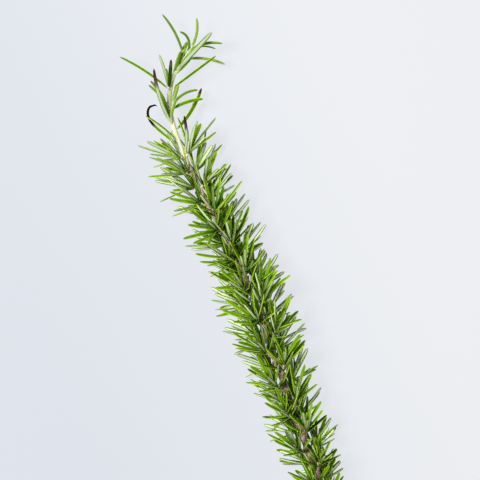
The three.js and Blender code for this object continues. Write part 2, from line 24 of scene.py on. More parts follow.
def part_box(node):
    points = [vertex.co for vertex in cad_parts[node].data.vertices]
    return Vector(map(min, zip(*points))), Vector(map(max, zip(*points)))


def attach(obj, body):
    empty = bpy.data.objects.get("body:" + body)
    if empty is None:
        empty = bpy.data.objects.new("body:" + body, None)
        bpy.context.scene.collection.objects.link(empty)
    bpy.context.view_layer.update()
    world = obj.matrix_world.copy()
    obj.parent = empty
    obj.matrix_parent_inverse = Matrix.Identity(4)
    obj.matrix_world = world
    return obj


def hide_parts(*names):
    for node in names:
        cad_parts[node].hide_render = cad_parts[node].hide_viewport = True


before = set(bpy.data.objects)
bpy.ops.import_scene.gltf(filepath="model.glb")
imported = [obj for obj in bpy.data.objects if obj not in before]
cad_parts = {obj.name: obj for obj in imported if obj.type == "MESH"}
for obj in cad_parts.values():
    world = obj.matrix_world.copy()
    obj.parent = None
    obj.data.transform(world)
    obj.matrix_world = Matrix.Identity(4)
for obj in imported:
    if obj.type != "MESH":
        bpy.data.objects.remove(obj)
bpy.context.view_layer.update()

Array = np.ndarray
Rows = tuple[tuple[float, float], ...]
Heading = Callable[[float], Array]

LOG = logging.getLogger("rosemary")
METRES = 0.001
UP = np.array([0.0, 0.0, 1.0])
SEED_STEP = 12.9898  # the draws are read off a sine at places this far apart for each seed
DRAW_STEP = 78.233  # and this far for each draw
SINE_GAIN = 43758.5453  # so steep that they share no pattern


# ------------------------------------------------------------------ numbers and directions


def scatter(seed: int, draw: int) -> float:
    """A repeatable scattered number from 0 to 1.

    Args:
        seed: The number of the thing that is grown.
        draw: Which of its numbers is drawn.

    Returns:
        The number, the same for the same seed and draw.
    """
    value = math.sin(seed * SEED_STEP + draw * DRAW_STEP) * SINE_GAIN
    return value - math.floor(value)


def look_up(rows: Rows, place: Union[float, Array]) -> Union[float, Array]:
    """Reads a table, straight between its rows and level past its ends.

    Args:
        rows: Pairs of a place and the value there.
        place: Where to read it, or several such places.

    Returns:
        The value at each place.
    """
    places, values = zip(*rows)
    found = np.interp(place, places, values)
    return float(found) if np.ndim(place) == 0 else found


def mix(low: float, high: float, share: float) -> float:
    """The number that lies a share of the way from low to high."""
    return low + (high - low) * share


def nearest(number: float) -> int:
    """The whole number nearest to a number."""
    return math.floor(number + 0.5)


def unit(vector: Array) -> Array:
    """A vector, or each of a row of them, at length 1."""
    return vector / np.linalg.norm(vector, axis=-1, keepdims=True)


def square_to(axis: Array, direction: Array) -> Array:
    """The part of a direction that stands square to an axis, at length 1."""
    return unit(direction - axis * np.sum(direction * axis, axis=-1, keepdims=True))


def tilt(start: Array, end: Array, degrees: Union[float, Array]) -> Array:
    """A direction turned from one unit vector towards another that stands square to it.

    Args:
        start: The direction at 0 degrees.
        end: The direction at 90 degrees.
        degrees: The angle, or a row of angles.

    Returns:
        The turned direction, or one for each angle.
    """
    angle = np.radians(degrees)
    if np.ndim(angle):
        angle = angle[..., None]
    return start * np.cos(angle) + end * np.sin(angle)


def smooth_line(points: Array, shares: Array) -> Array:
    """Places on a smooth curve through points.

    Args:
        points: The points that the curve passes through.
        shares: How far along the row of points each place is, from 0 to 1.

    Returns:
        One point for each share.
    """
    last = len(points) - 1
    before = 2 * points[0] - points[1]
    after = 2 * points[last] - points[last - 1]
    padded = np.vstack([before, points, after])
    place = np.asarray(shares) * last
    index = np.minimum(place.astype(int), last - 1)
    t = (place - index)[:, None]
    p0, p1, p2, p3 = (padded[index + step] for step in range(4))
    leave, arrive = (p2 - p0) / 2, (p3 - p1) / 2
    cubic = 2 * (p1 - p2) + leave + arrive
    square = 3 * (p2 - p1) - 2 * leave - arrive
    return ((cubic * t + square) * t + leave) * t + p1


@dataclass(frozen=True)
class Stray:
    """How far one property strays from its rule, and the number that its draws start from."""

    draw: int
    spread: float

    def of(self, seed: int, number: int = 0) -> float:
        """How far a numbered thing of one seed strays, to either side."""
        return (2 * scatter(seed, self.draw + number) - 1) * self.spread


# ------------------------------------------------------------------ the stem's line


@dataclass(frozen=True)
class StemPlace:
    """One place on the stem: its middle, direction, two side directions and radius."""

    at: float
    centre: Array
    along: Array
    right: Array
    upper: Array
    radius: float


@dataclass
class StemLine:
    """The middle line of the stem, and how thick it is."""

    route: tuple[tuple[float, float, float], ...] = (
        (-2.5, -162, 7.5),
        (-3.6, -140, 10),
        (-4.2, -115, 12),
        (-4.1, -90, 13),
        (-3.9, -65, 14),
        (-3.5, -40, 14),
        (-4.4, -18, 14),
        (-7, 5, 14),
        (-10.2, 28, 13.5),
        (-12.2, 50, 13),
        (-12.4, 70, 12),
        (-9.4, 84, 11.5),
        (-2.8, 94.5, 11),
        (5.5, 101.5, 11),
        (12.5, 106, 11),
    )
    radii: Rows = (
        (0, 1.85),
        (130, 1.45),
        (215, 1.11),
        (238, 1.3),
        (250, 1.3),
        (265, 0.9),
        (279, 0.55),
    )
    samples: int = 400
    first_node: float = 16
    node_spacing: float = 9
    node_count: int = 23
    node_swell: float = 1.14
    solid_end: float = 257.7
    solid_sides: int = 8
    depth_step: float = 3
    brush_radius: float = 17
    brush: Rows = ((0, 1), (200, 1), (232, 0))
    length: float = field(init=False)

    def __post_init__(self) -> None:
        """Measures the line, so that a place on it can be found by its distance."""
        self._points = np.array(self.route, float)
        self._shares = np.linspace(0, 1, self.samples + 1)
        line = smooth_line(self._points, self._shares)
        steps = np.linalg.norm(np.diff(line, axis=0), axis=1)
        self._lengths = np.concatenate([[0], np.cumsum(steps)])
        self.length = float(self._lengths[-1])

    def point(self, at: float) -> Array:
        """The middle of the stem at a distance along it."""
        share = np.interp(at, self._lengths, self._shares)
        return smooth_line(self._points, np.array([share]))[0]

    def place(self, at: float) -> StemPlace:
        """Everything about the stem at a distance along it."""
        along = unit(self.point(at + 1) - self.point(at - 1))
        right = unit(np.cross(along, UP))
        radius = look_up(self.radii, at)
        return StemPlace(at, self.point(at), along, right, np.cross(right, along), radius)

    def depth(self, points: Array) -> Array:
        """How deep places lie in the brush of leaves, from 0 at its outside to 1 at the stem."""
        places = np.arange(0, self.length, self.depth_step)
        line = np.array([self.point(at) for at in places])
        apart = np.linalg.norm(points[:, None] - line, axis=-1)
        leafy = look_up(self.brush, places[apart.argmin(axis=1)])
        # the leaf finish turns this depth into painted shade; it is 0 past the leafy part near the
        # tip
        return leafy * (1 - np.clip(apart.min(axis=1) / self.brush_radius, 0, 1))

    def nodes(self) -> Array:
        """Where the pairs of shoots leave the stem, as distances along it."""
        return self.first_node + self.node_spacing * np.arange(self.node_count)

    def solid_corner(self) -> Array:
        """The lowest corner of the stem's solid where the sprig grows."""
        first = self.first_node - self.node_spacing
        body = np.arange(first, self.solid_end - 1, self.node_spacing / 2)
        turns = np.arange(self.solid_sides) * 360 / self.solid_sides
        rings = []
        for at in (0, *body, self.solid_end):
            place = self.place(at)
            swell = self.node_swell if at in self.nodes() else 1
            spokes = tilt(place.right, place.upper, turns)
            rings.append(place.centre + spokes * place.radius * swell)
        return np.concatenate(rings).min(axis=0)


# ------------------------------------------------------------------ room to grow


REST_HEIGHT = 0.3  # of the middle of a leaf that lies on the table
FLOOR_EASE = 5.0  # a strand starts to level out this far above the table
LIE_REACH = 2.0  # and a leaf has its own roll back this far above it
ROOM = 0.15  # clear space kept round each leaf
NEARBY = 6.0  # what is further off along the sprig is out of reach
OWN_FOOT = 0.22  # leaves of one shoot may touch in this share of their length
LEAF_FOOT = 0.2  # and this share stands free of every check
BALL_ROOM = 20000


class Thicket:
    """Everything grown so far, as balls."""

    def __init__(self) -> None:
        """Starts with nothing grown."""
        self.count = 0
        self.centres = np.zeros((BALL_ROOM, 3))
        self.radii = np.zeros(BALL_ROOM)
        self.owners = np.zeros(BALL_ROOM, int)
        self.shares = np.zeros(BALL_ROOM)

    def add(self, centres: Array, radii: Array, owner: int, shares: Array) -> None:
        """Takes the room of one strand.

        Args:
            centres: The middles of its balls.
            radii: Their radii.
            owner: The number of the piece that the strand is part of.
            shares: How far along its leaf each ball is, or 0 for wood.
        """
        taken = slice(self.count, self.count + len(centres))
        self.centres[taken] = centres
        self.radii[taken] = radii
        self.owners[taken] = owner
        self.shares[taken] = shares
        self.count += len(centres)

    def fits(self, centres: Array, radii: Array, owner: int, shares: Array) -> Array:
        """Tells which of several ways to grow one leaf are free.

        Args:
            centres: The middles of the leaf's balls, for each way.
            radii: The radii of the balls.
            owner: The number of the piece that the leaf is part of.
            shares: How far along the leaf each ball is.

        Returns:
            One truth for each way.
        """
        free = shares > LEAF_FOOT
        centres, radii, shares = centres[:, free], radii[free], shares[free]
        reach = self.centres[: self.count, 1]
        near = (reach > centres[..., 1].min() - NEARBY) & (reach < centres[..., 1].max() + NEARBY)
        near = np.flatnonzero(near)
        apart = np.linalg.norm(centres[:, :, None] - self.centres[near], axis=-1)
        room = apart - radii[:, None] - self.radii[near]
        feet = (shares[:, None] < OWN_FOOT) | (self.shares[near] < OWN_FOOT)
        room[:, (self.owners[near] == owner) & feet] = np.inf
        return room.min(axis=(1, 2)) >= 0


def grow(start: Array, length: float, steps: int, heading: Heading) -> Array:
    """Steps a strand forward by its heading, easing it level above the table.

    Args:
        start: Where it starts.
        length: How long it gets.
        steps: The number of its steps.
        heading: Gives its direction at a share of its length, or one for each way to grow.

    Returns:
        Its points, for each way to grow.
    """
    here = np.broadcast_to(start, heading(0.5).shape).copy()
    points = [here]
    for step in range(steps):
        way = heading((step + 0.5) / steps)
        eased = way.copy()
        eased[..., 2] *= np.clip((here[..., 2] - REST_HEIGHT) / FLOOR_EASE, 0, 1)
        way = np.where(way[..., 2:] < 0, unit(eased), way)
        here = here + way * length / steps
        here[..., 2] = np.maximum(here[..., 2], REST_HEIGHT)
        points.append(here)
    return np.stack(points, axis=-2)


def halved(row: Array) -> Array:
    """A row with the middle of each two neighbours put between them, along its last axis but one."""
    middles = (row[..., 1:, :] + row[..., :-1, :]) / 2
    size = row.shape[-2] + middles.shape[-2]
    filled = np.empty((*row.shape[:-2], size, row.shape[-1]))
    filled[..., 0::2, :] = row
    filled[..., 1::2, :] = middles
    return filled


def leaf_normals(points: Array, facing: Array) -> Array:
    """The way that a leaf's upper side faces at each point, carried along from its foot.

    Args:
        points: The leaf's middle line.
        facing: The way that its upper side faces at its foot.

    Returns:
        A direction of length 1 for each point, square to the line.
    """
    normals = []
    normal = facing
    for index, point in enumerate(points):
        ahead, behind = min(index + 1, len(points) - 1), max(index - 1, 0)
        along = unit(points[ahead] - points[behind])
        normal = square_to(along, normal)
        lying = 1 - np.clip((point[2] - REST_HEIGHT) / LIE_REACH, 0, 1)
        flat = UP * (lying if normal[2] >= 0 else -lying)
        normal = square_to(along, normal * (1 - lying) + flat)
        normals.append(normal)
    return np.array(normals)


# ------------------------------------------------------------------ leaves


LEAF_WIDTH = 1.75
LEAF_STEPS = 8
TURN_PER_STEP = 20.0  # a leaf that swings far has one more step for each of these
SOLID_FOOT = (0.5, 0.15)  # width of a solid leaf's foot, and the share where it is full
SOLID_TIP = 0.2  # its round end takes this last share
WIDTH_ALONG: Rows = (
    (0, 0.5),
    (0.05, 0.7),
    (0.15, 0.95),
    (0.33, 1.06),
    (0.69, 1.05),
    (0.87, 0.92),
    (0.955, 0.68),
    (1, 0.2),
)
LEAF_SPAN = (0.15, 0.87)  # the even middle of a leaf, where its rings stand evenly
LEAF_ENDS = ((0.0, 0.05), (0.955, 1.0))
SPANS = 4  # between rings, in that middle
SPANS_PER_STEP = 2  # more of them for each more step of a leaf that swings far
SHRINK = 0.1  # a dead tip is this much narrower
SHRINK_SPAN = 0.1  # and narrows over this share of the leaf


def solid_half_width(shares: Array, width: float) -> Array:
    """Half the width of a leaf's solid at shares of its length."""
    foot = mix(SOLID_FOOT[0], 1, np.clip(shares / SOLID_FOOT[1], 0, 1))
    tip = np.sqrt(1 - np.clip((shares - 1 + SOLID_TIP) / SOLID_TIP, 0, 1) ** 2)
    return 0.5 * width * foot * tip


def leaf_balls(steps: int, width: float) -> tuple[Array, Array]:
    """The balls that stand for a leaf's room.

    Args:
        steps: The number of the leaf's steps.
        width: The leaf's width.

    Returns:
        Their radii, and how far along the leaf each of them is.
    """
    halves = solid_half_width(np.linspace(0, 1, steps + 1), width) + ROOM
    radii = halved(halves[:, None])[:, 0]
    return radii, np.linspace(0, 1, len(radii))


@dataclass
class Strand:
    """One leaf or twig for the loom, with what the loom and the finishes read along it.

    A girth is a leaf's share of the full half width, or a twig's radius in millimetres. Age runs
    from 0 in old growth to 1 in young growth. Depth is how deep it lies in the brush of leaves,
    by which the leaf finish paints shade.
    """

    points: Array
    facing: Array
    girth: Array
    along: Array
    age: Array
    tone: float = 0.5
    dead: float = 0.0
    cut: Union[float, Array] = 0.0
    swell: Union[float, Array] = 0.0
    depth: Union[float, Array] = 0.0
    woody: bool = False

    def row(self, name: str) -> Array:
        """One of its properties, as a number for each point."""
        return np.broadcast_to(getattr(self, name), len(self.points)).astype(float)


def wood(points: Array, girth: Array, along: Array, age: Array, **rows: Array) -> Strand:
    """A strand of wood, whose section is round and so may face anywhere."""
    facing = np.tile(UP, (len(points), 1))
    return Strand(points, facing, girth, along, age, woody=True, **rows)


@dataclass
class Leaf:
    """One grown leaf: its middle line, and what sets its looks."""

    points: Array
    normals: Array
    width: float
    twist: float = 0.0
    tone: float = 0.5
    age: float = 0.0
    dead: float = 0.0
    # painted shade: the leaf is darkened as if it lay this deep in the brush
    shade: float = 0.0
    spread: float = 0.0

    def strand(self) -> Strand:
        """The leaf as a strand for the loom, with its twist."""
        spans = SPANS + SPANS_PER_STEP * (len(self.points) - 1 - LEAF_STEPS)
        middle = np.linspace(*LEAF_SPAN, spans + 1)
        shares = np.concatenate([LEAF_ENDS[0], middle, LEAF_ENDS[1]])
        points = smooth_line(self.points, shares)
        along = unit(np.gradient(points, axis=0))
        facing = square_to(along, smooth_line(self.normals, shares))
        facing = tilt(facing, np.cross(along, facing), self.twist * shares)
        dried = np.clip((shares - 1 + self.dead) / SHRINK_SPAN, 0, 1) if self.dead else 0
        girth = look_up(WIDTH_ALONG, shares) * (1 - SHRINK * dried) * self.width / LEAF_WIDTH
        girth *= 1 + self.spread
        age = np.full(len(shares), self.age)
        looks = {"tone": self.tone, "dead": self.dead, "depth": self.shade}
        return Strand(points, facing, girth, shares, age, **looks)


# ------------------------------------------------------------------ side shoots


@dataclass(frozen=True)
class PairRule:
    """How pairs of leaves stand along the axis of a side shoot.

    Number and row are where the draws of the leaves and of the pairs start. Places are the shares
    of the axis where the pairs begin and end. Turn is how far every other pair is turned about the
    axis from the shoot's upper side, and the pairs between them stand square to that. Width is a
    share of the usual one. Youth is how much younger leaves look at the end of the axis.
    """

    number: int
    row: int
    places: tuple[float, float]
    turn: float
    width: float
    youth: float
    curl_share: float


@dataclass
class SideShoot:
    """A side shoot of the stem: its axis, the stem's leaf under it, and its pairs of leaves."""

    line: StemLine
    thicket: Thicket
    name: str
    at: float
    turn: float
    seed: int
    owner: int
    # its axis
    gap: float = 0.3
    lengths: Rows = ((0, 9.5), (60, 11), (115, 11.5), (160, 8), (220, 3))
    length_stray: Stray = Stray(2, 0.15)
    splays: Rows = ((0, 44), (115, 48), (160, 48), (220, 56))
    splay_stray: Stray = Stray(3, 7)
    bend: float = 8
    radii: Rows = ((0, 0.75), (1, 0.45))
    steps: int = 2
    left_gain: float = 1.06
    right_gain: float = 0.92
    gain_reach: float = 100
    twig_radii: Rows = ((0, 0.95), (0.3, 0.8), (0.8, 0.55), (1, 0.42))
    twig_rings: int = 9
    twig_age: float = 0.82
    twig_foot_age: float = 0.3
    # its pairs of leaves
    pairs: PairRule = PairRule(
        number=0, row=0, places=(0.4, 1), turn=0, width=1, youth=0.35, curl_share=0.25
    )
    pair_counts: Rows = ((0, 4), (40, 4.5), (60, 5), (150, 5), (165, 4), (190, 3.4), (220, 2.6))
    row_stray: Stray = Stray(10, 14)
    top_leaf: float = 0.82
    foot_depth: float = 0.9
    leaf_lengths: Rows = ((0, 15), (60, 17), (115, 20), (220, 20.5))
    leaf_length_stray: Stray = Stray(80, 0.16)
    leaf_width_stray: Stray = Stray(100, 0.1)
    leaf_splay: tuple[float, float] = (62, 26)
    leaf_splay_stray: Stray = Stray(20, 11)
    leaf_bend: tuple[float, float] = (4, 14)
    bend_draw: int = 40
    curl: float = -1.6
    curl_draw: int = 60
    # the late leaves, between the pairs
    late: PairRule = PairRule(
        number=300, row=50, places=(0.3, 0.95), turn=45, width=0.95, youth=0.3, curl_share=0
    )
    late_pairs: int = 4
    late_end: float = 175
    last_late_pairs: int = 2
    late_length: tuple[float, float] = (0.64, 0.96)
    late_length_draw: int = 340
    # the stem's leaf under it
    stem_leaf_number: int = 15
    stem_leaf_from: float = 40
    stem_leaf_foot: float = 0.2
    stem_leaf_lengths: Rows = ((40, 16), (120, 21), (220, 26))
    stem_leaf_splays: Rows = ((0, 60), (220, 58))
    stem_leaf_splay_stray: Stray = Stray(91, 10)
    stem_leaf_bend_stray: Stray = Stray(92, 14)
    # the leaves that lie along the stem and cover it
    cover_number: int = 400
    cover_leaves: int = 3
    cover_spacing: float = 2.6
    cover_length: float = 0.95
    cover_splay: tuple[float, float] = (16, 40)
    cover_bend: float = 6
    cover_age: float = 0.1
    cover_turn_stray: Stray = Stray(500, 62)
    bare: tuple[tuple[float, float], ...] = ((0, 16), (47, 82), (111, 118), (158, 170), (181, 300))
    # all of these leaves
    light: tuple[float, float, float] = (0.34, 0.94, 0)
    light_pull: float = 0.18
    turns: tuple[float, ...] = (0, 11, -11, 22, -22, 33, -33, 44, -44)
    leans: tuple[float, ...] = (0, 10, -10, 20, -20)
    twist_stray: Stray = Stray(120, 34)
    tone_draw: int = 140
    youth: Rows = ((170, 0), (260, 0.8))
    leaf_spread: float = 0.1
    brown_draw: int = 160
    brown_share: float = 0.03
    brown_tip: float = 0.07
    # the bud that closes it
    bud_leaves: int = 4
    bud_rise: float = 0.5
    bud_draw: int = 180
    bud_turn: float = 40
    bud_leaf_length: float = 4.2
    bud_leaf_growth: float = 2.6
    bud_leaf_width: float = 1.15
    bud_leaf_age: float = 0.85
    bud_splay_draw: int = 190
    bud_splay: float = 12
    bud_spread: float = 10
    bud_bend: float = 9
    leaves: list[Leaf] = field(default_factory=list)

    def grow_axis(self) -> None:
        """Grows the axis out of the stem."""
        self.stem = self.line.place(self.at)
        self.outward = tilt(self.stem.upper, self.stem.right, self.turn)
        old = 1 - np.clip(self.at / self.gain_reach, 0, 1)
        self.gain = mix(1, self.left_gain if self.turn < 0 else self.right_gain, old)
        splay = look_up(self.splays, self.at) + self.splay_stray.of(self.seed)
        length = look_up(self.lengths, self.at) * (1 + self.length_stray.of(self.seed)) * self.gain

        def heading(share: float) -> Array:
            """The axis's direction at a share of its length."""
            return tilt(self.stem.along, self.outward, splay - self.bend * share)

        start = self.stem.centre + self.outward * (self.stem.radius + self.gap)
        self.axis = grow(start, length, self.steps, heading)
        radii = look_up(self.radii, np.linspace(0, 1, self.steps + 1))
        centres = halved(self.axis)
        woody = np.zeros(len(centres))
        self.thicket.add(centres, halved(radii[:, None])[:, 0], self.owner, woody)

    def axis_at(self, share: float) -> tuple[Array, Array]:
        """A leaf's foot inside the axis, and the axis's direction there."""
        place = share * self.steps
        index = min(int(place), self.steps - 1)
        start, end = self.axis[index], self.axis[index + 1]
        way = unit(end - start)
        return start + (end - start) * (place - index) - way * self.foot_depth, way

    def round_axis(self, axis: Array) -> tuple[Array, Array]:
        """Two directions square to the axis: the shoot's upper side, and across it."""
        upper = square_to(axis, self.outward)
        return upper, np.cross(axis, upper)

    def grow_leaf(
        self,
        foot: Array,
        axis: Array,
        outward: Array,
        splay: float,
        bend: float,
        length: float,
        width: float,
        number: int,
        age: float,
    ) -> None:
        """Grows one leaf, turned aside as little as its neighbours allow, or leaves it out.

        Args:
            foot: Where the leaf starts.
            axis: The direction of what it grows on.
            outward: The direction away from that.
            splay: The angle between the leaf and the axis.
            bend: How far the leaf bends back towards the axis.
            length: Its length.
            width: Its width.
            number: The number of its draws.
            age: How young it looks.
        """
        sideways = np.cross(axis, outward)
        away = tilt(outward, sideways, np.array(self.turns))
        radii, places = leaf_balls(LEAF_STEPS, width)
        for lean in self.leans:

            def heading(share: float) -> Array:
                """The leaf's direction at a share of its length, for each turn aside."""
                ways = tilt(axis, away, splay + lean - bend * share)
                return unit(ways + np.array(self.light) * self.light_pull)

            lines = grow(foot, length, LEAF_STEPS, heading)
            centres = halved(lines)
            free = np.flatnonzero(self.thicket.fits(centres, radii, self.owner, places))
            if len(free):
                self.thicket.add(centres[free[0]], radii, self.owner, places)
                points = lines[free[0]]
                browned = scatter(self.seed, self.brown_draw + number) < self.brown_share
                self.leaves.append(
                    Leaf(
                        points,
                        leaf_normals(points, axis),
                        width,
                        twist=self.twist_stray.of(self.seed, number),
                        tone=scatter(self.seed, self.tone_draw + number),
                        age=age,
                        dead=self.brown_tip if browned else 0.0,
                        spread=self.leaf_spread,
                    )
                )
                return

    def grow_leaves(self) -> None:
        """Grows the stem's leaf under the shoot, then the shoot's own pairs."""
        seed, at = self.seed, self.at
        if at >= self.stem_leaf_from:
            self.grow_leaf(
                self.axis_at(self.stem_leaf_foot)[0],
                self.stem.along,
                self.outward,
                look_up(self.stem_leaf_splays, at) + self.stem_leaf_splay_stray.of(seed),
                self.stem_leaf_bend_stray.of(seed),
                look_up(self.stem_leaf_lengths, at),
                LEAF_WIDTH,
                self.stem_leaf_number,
                look_up(self.youth, at),
            )
        count = nearest(look_up(self.pair_counts, at))
        for pair in range(count):
            share = pair / (count - 1)
            size = mix(1, self.top_leaf, share)
            self.grow_pair(self.pairs, pair, share, (size, size))

    def grow_late_leaves(self) -> None:
        """Grows the smaller leaves that stand between the pairs, where there is room left."""
        count = self.late_pairs if self.at < self.late_end else self.last_late_pairs
        for pair in range(count):
            draw = self.late_length_draw + self.late.number + pair * 2
            draws = scatter(self.seed, draw), scatter(self.seed, draw + 1)
            sizes = [mix(*self.late_length, drawn) for drawn in draws]
            self.grow_pair(self.late, pair, (pair + 0.5) / count, sizes)

    def grow_pair(self, rule: PairRule, pair: int, share: float, sizes: Sequence[float]) -> None:
        """Grows the two leaves of one pair.

        Args:
            rule: How the pairs stand.
            pair: The number of this one.
            share: How far it stands from the first of them to the last.
            sizes: The lengths of its leaves, as shares of the usual length.
        """
        seed = self.seed
        foot, axis = self.axis_at(mix(*rule.places, share))
        upper, across = self.round_axis(axis)
        turn = rule.turn + 90 if pair % 2 == 0 else rule.turn
        turn += self.row_stray.of(seed, rule.row + pair)
        for side, size in enumerate(sizes):
            number = rule.number + pair * 2 + side
            bend = mix(*self.leaf_bend, scatter(seed, self.bend_draw + number))
            curled = scatter(seed, self.curl_draw + number) < rule.curl_share
            length = look_up(self.leaf_lengths, self.at) * self.gain * size
            self.grow_leaf(
                foot,
                axis,
                tilt(upper, across, turn + 180 * side),
                mix(*self.leaf_splay, share) + self.leaf_splay_stray.of(seed, number),
                bend * (self.curl if curled else 1),
                length * (1 + self.leaf_length_stray.of(seed, number)),
                LEAF_WIDTH * (rule.width + self.leaf_width_stray.of(seed, number)),
                number,
                look_up(self.youth, self.at) + rule.youth * share**2,
            )

    def grow_cover_leaves(self) -> None:
        """Grows leaves straight from the stem that lie along it, but not where it shows bare."""
        for index in range(self.cover_leaves):
            number = self.cover_number + index
            stem = self.line.place(self.at + index * self.cover_spacing)
            if any(start < stem.at < end for start, end in self.bare):
                continue
            outward = tilt(stem.upper, stem.right, self.cover_turn_stray.of(self.seed, number))
            length = look_up(self.leaf_lengths, self.at) * self.cover_length
            self.grow_leaf(
                stem.centre + outward * (stem.radius + self.gap),
                stem.along,
                outward,
                mix(*self.cover_splay, scatter(self.seed, self.bend_draw + number)),
                self.cover_bend,
                length * (1 + self.leaf_length_stray.of(self.seed, number)),
                LEAF_WIDTH,
                number,
                self.cover_age,
            )

    def twig(self) -> Strand:
        """The axis as a strand, rooted inside the stem."""
        shares = np.linspace(0, 1, self.twig_rings)
        line = smooth_line(np.vstack([self.stem.centre, self.axis]), shares)
        young = mix(self.twig_foot_age, 1, shares)
        age = mix(look_up(STEM_AGE, self.at), self.twig_age, young)
        return wood(line, look_up(self.twig_radii, shares), shares, age)

    def bud(self) -> list[Strand]:
        """The youngest leaves, closed over the end of the axis."""
        foot, axis = self.axis_at(1)
        upper, across = self.round_axis(axis)
        made = []
        for number in range(self.bud_leaves):
            draw = scatter(self.seed, self.bud_draw + number)
            away = tilt(upper, across, 360 / self.bud_leaves * number + self.bud_turn * draw)
            length = self.bud_leaf_length + self.bud_leaf_growth * draw
            opened = scatter(self.seed, self.bud_splay_draw + number)
            splay = self.bud_splay + self.bud_spread * opened

            def heading(share: float) -> Array:
                """The young leaf's direction at a share of its length."""
                return tilt(axis, away, splay - self.bud_bend * share)

            points = grow(foot + axis * self.bud_rise, length, LEAF_STEPS, heading)
            normals = leaf_normals(points, -away)
            looks = {"tone": draw, "age": self.bud_leaf_age}
            made.append(Leaf(points, normals, self.bud_leaf_width, **looks).strand())
        return made

    def strands(self) -> list[Strand]:
        """Everything that the loom weaves for this shoot."""
        return [self.twig(), *(leaf.strand() for leaf in self.leaves), *self.bud()]


# ------------------------------------------------------------------ the growing tip


class Foot(Enum):
    """What a piece of the tip stands on."""

    TIP = "the stem's own end"
    BUD = "a short bud beside the stem"
    STEM = "the stem's skin"


@dataclass(frozen=True)
class TipLeaf:
    """A leaf of the tip, given one by one.

    Heading and turn lie in the plane of the stem: the leaf's direction at its foot, to the right
    of the stem's, and how much it swings by its end; hook above 1 keeps that swing for the end.
    Lift and drop are the same, away from the table. Face rolls the leaf about its own length.
    """

    at: float
    heading: float
    turn: float
    lift: float
    drop: float
    length: float
    width: float
    face: float
    hook: float = 1
    tone: float = 0.5
    age: float = 0.6
    dead: float = 0
    # painted shade: the leaf is darkened as if it lay this deep in the brush
    shade: float = 0


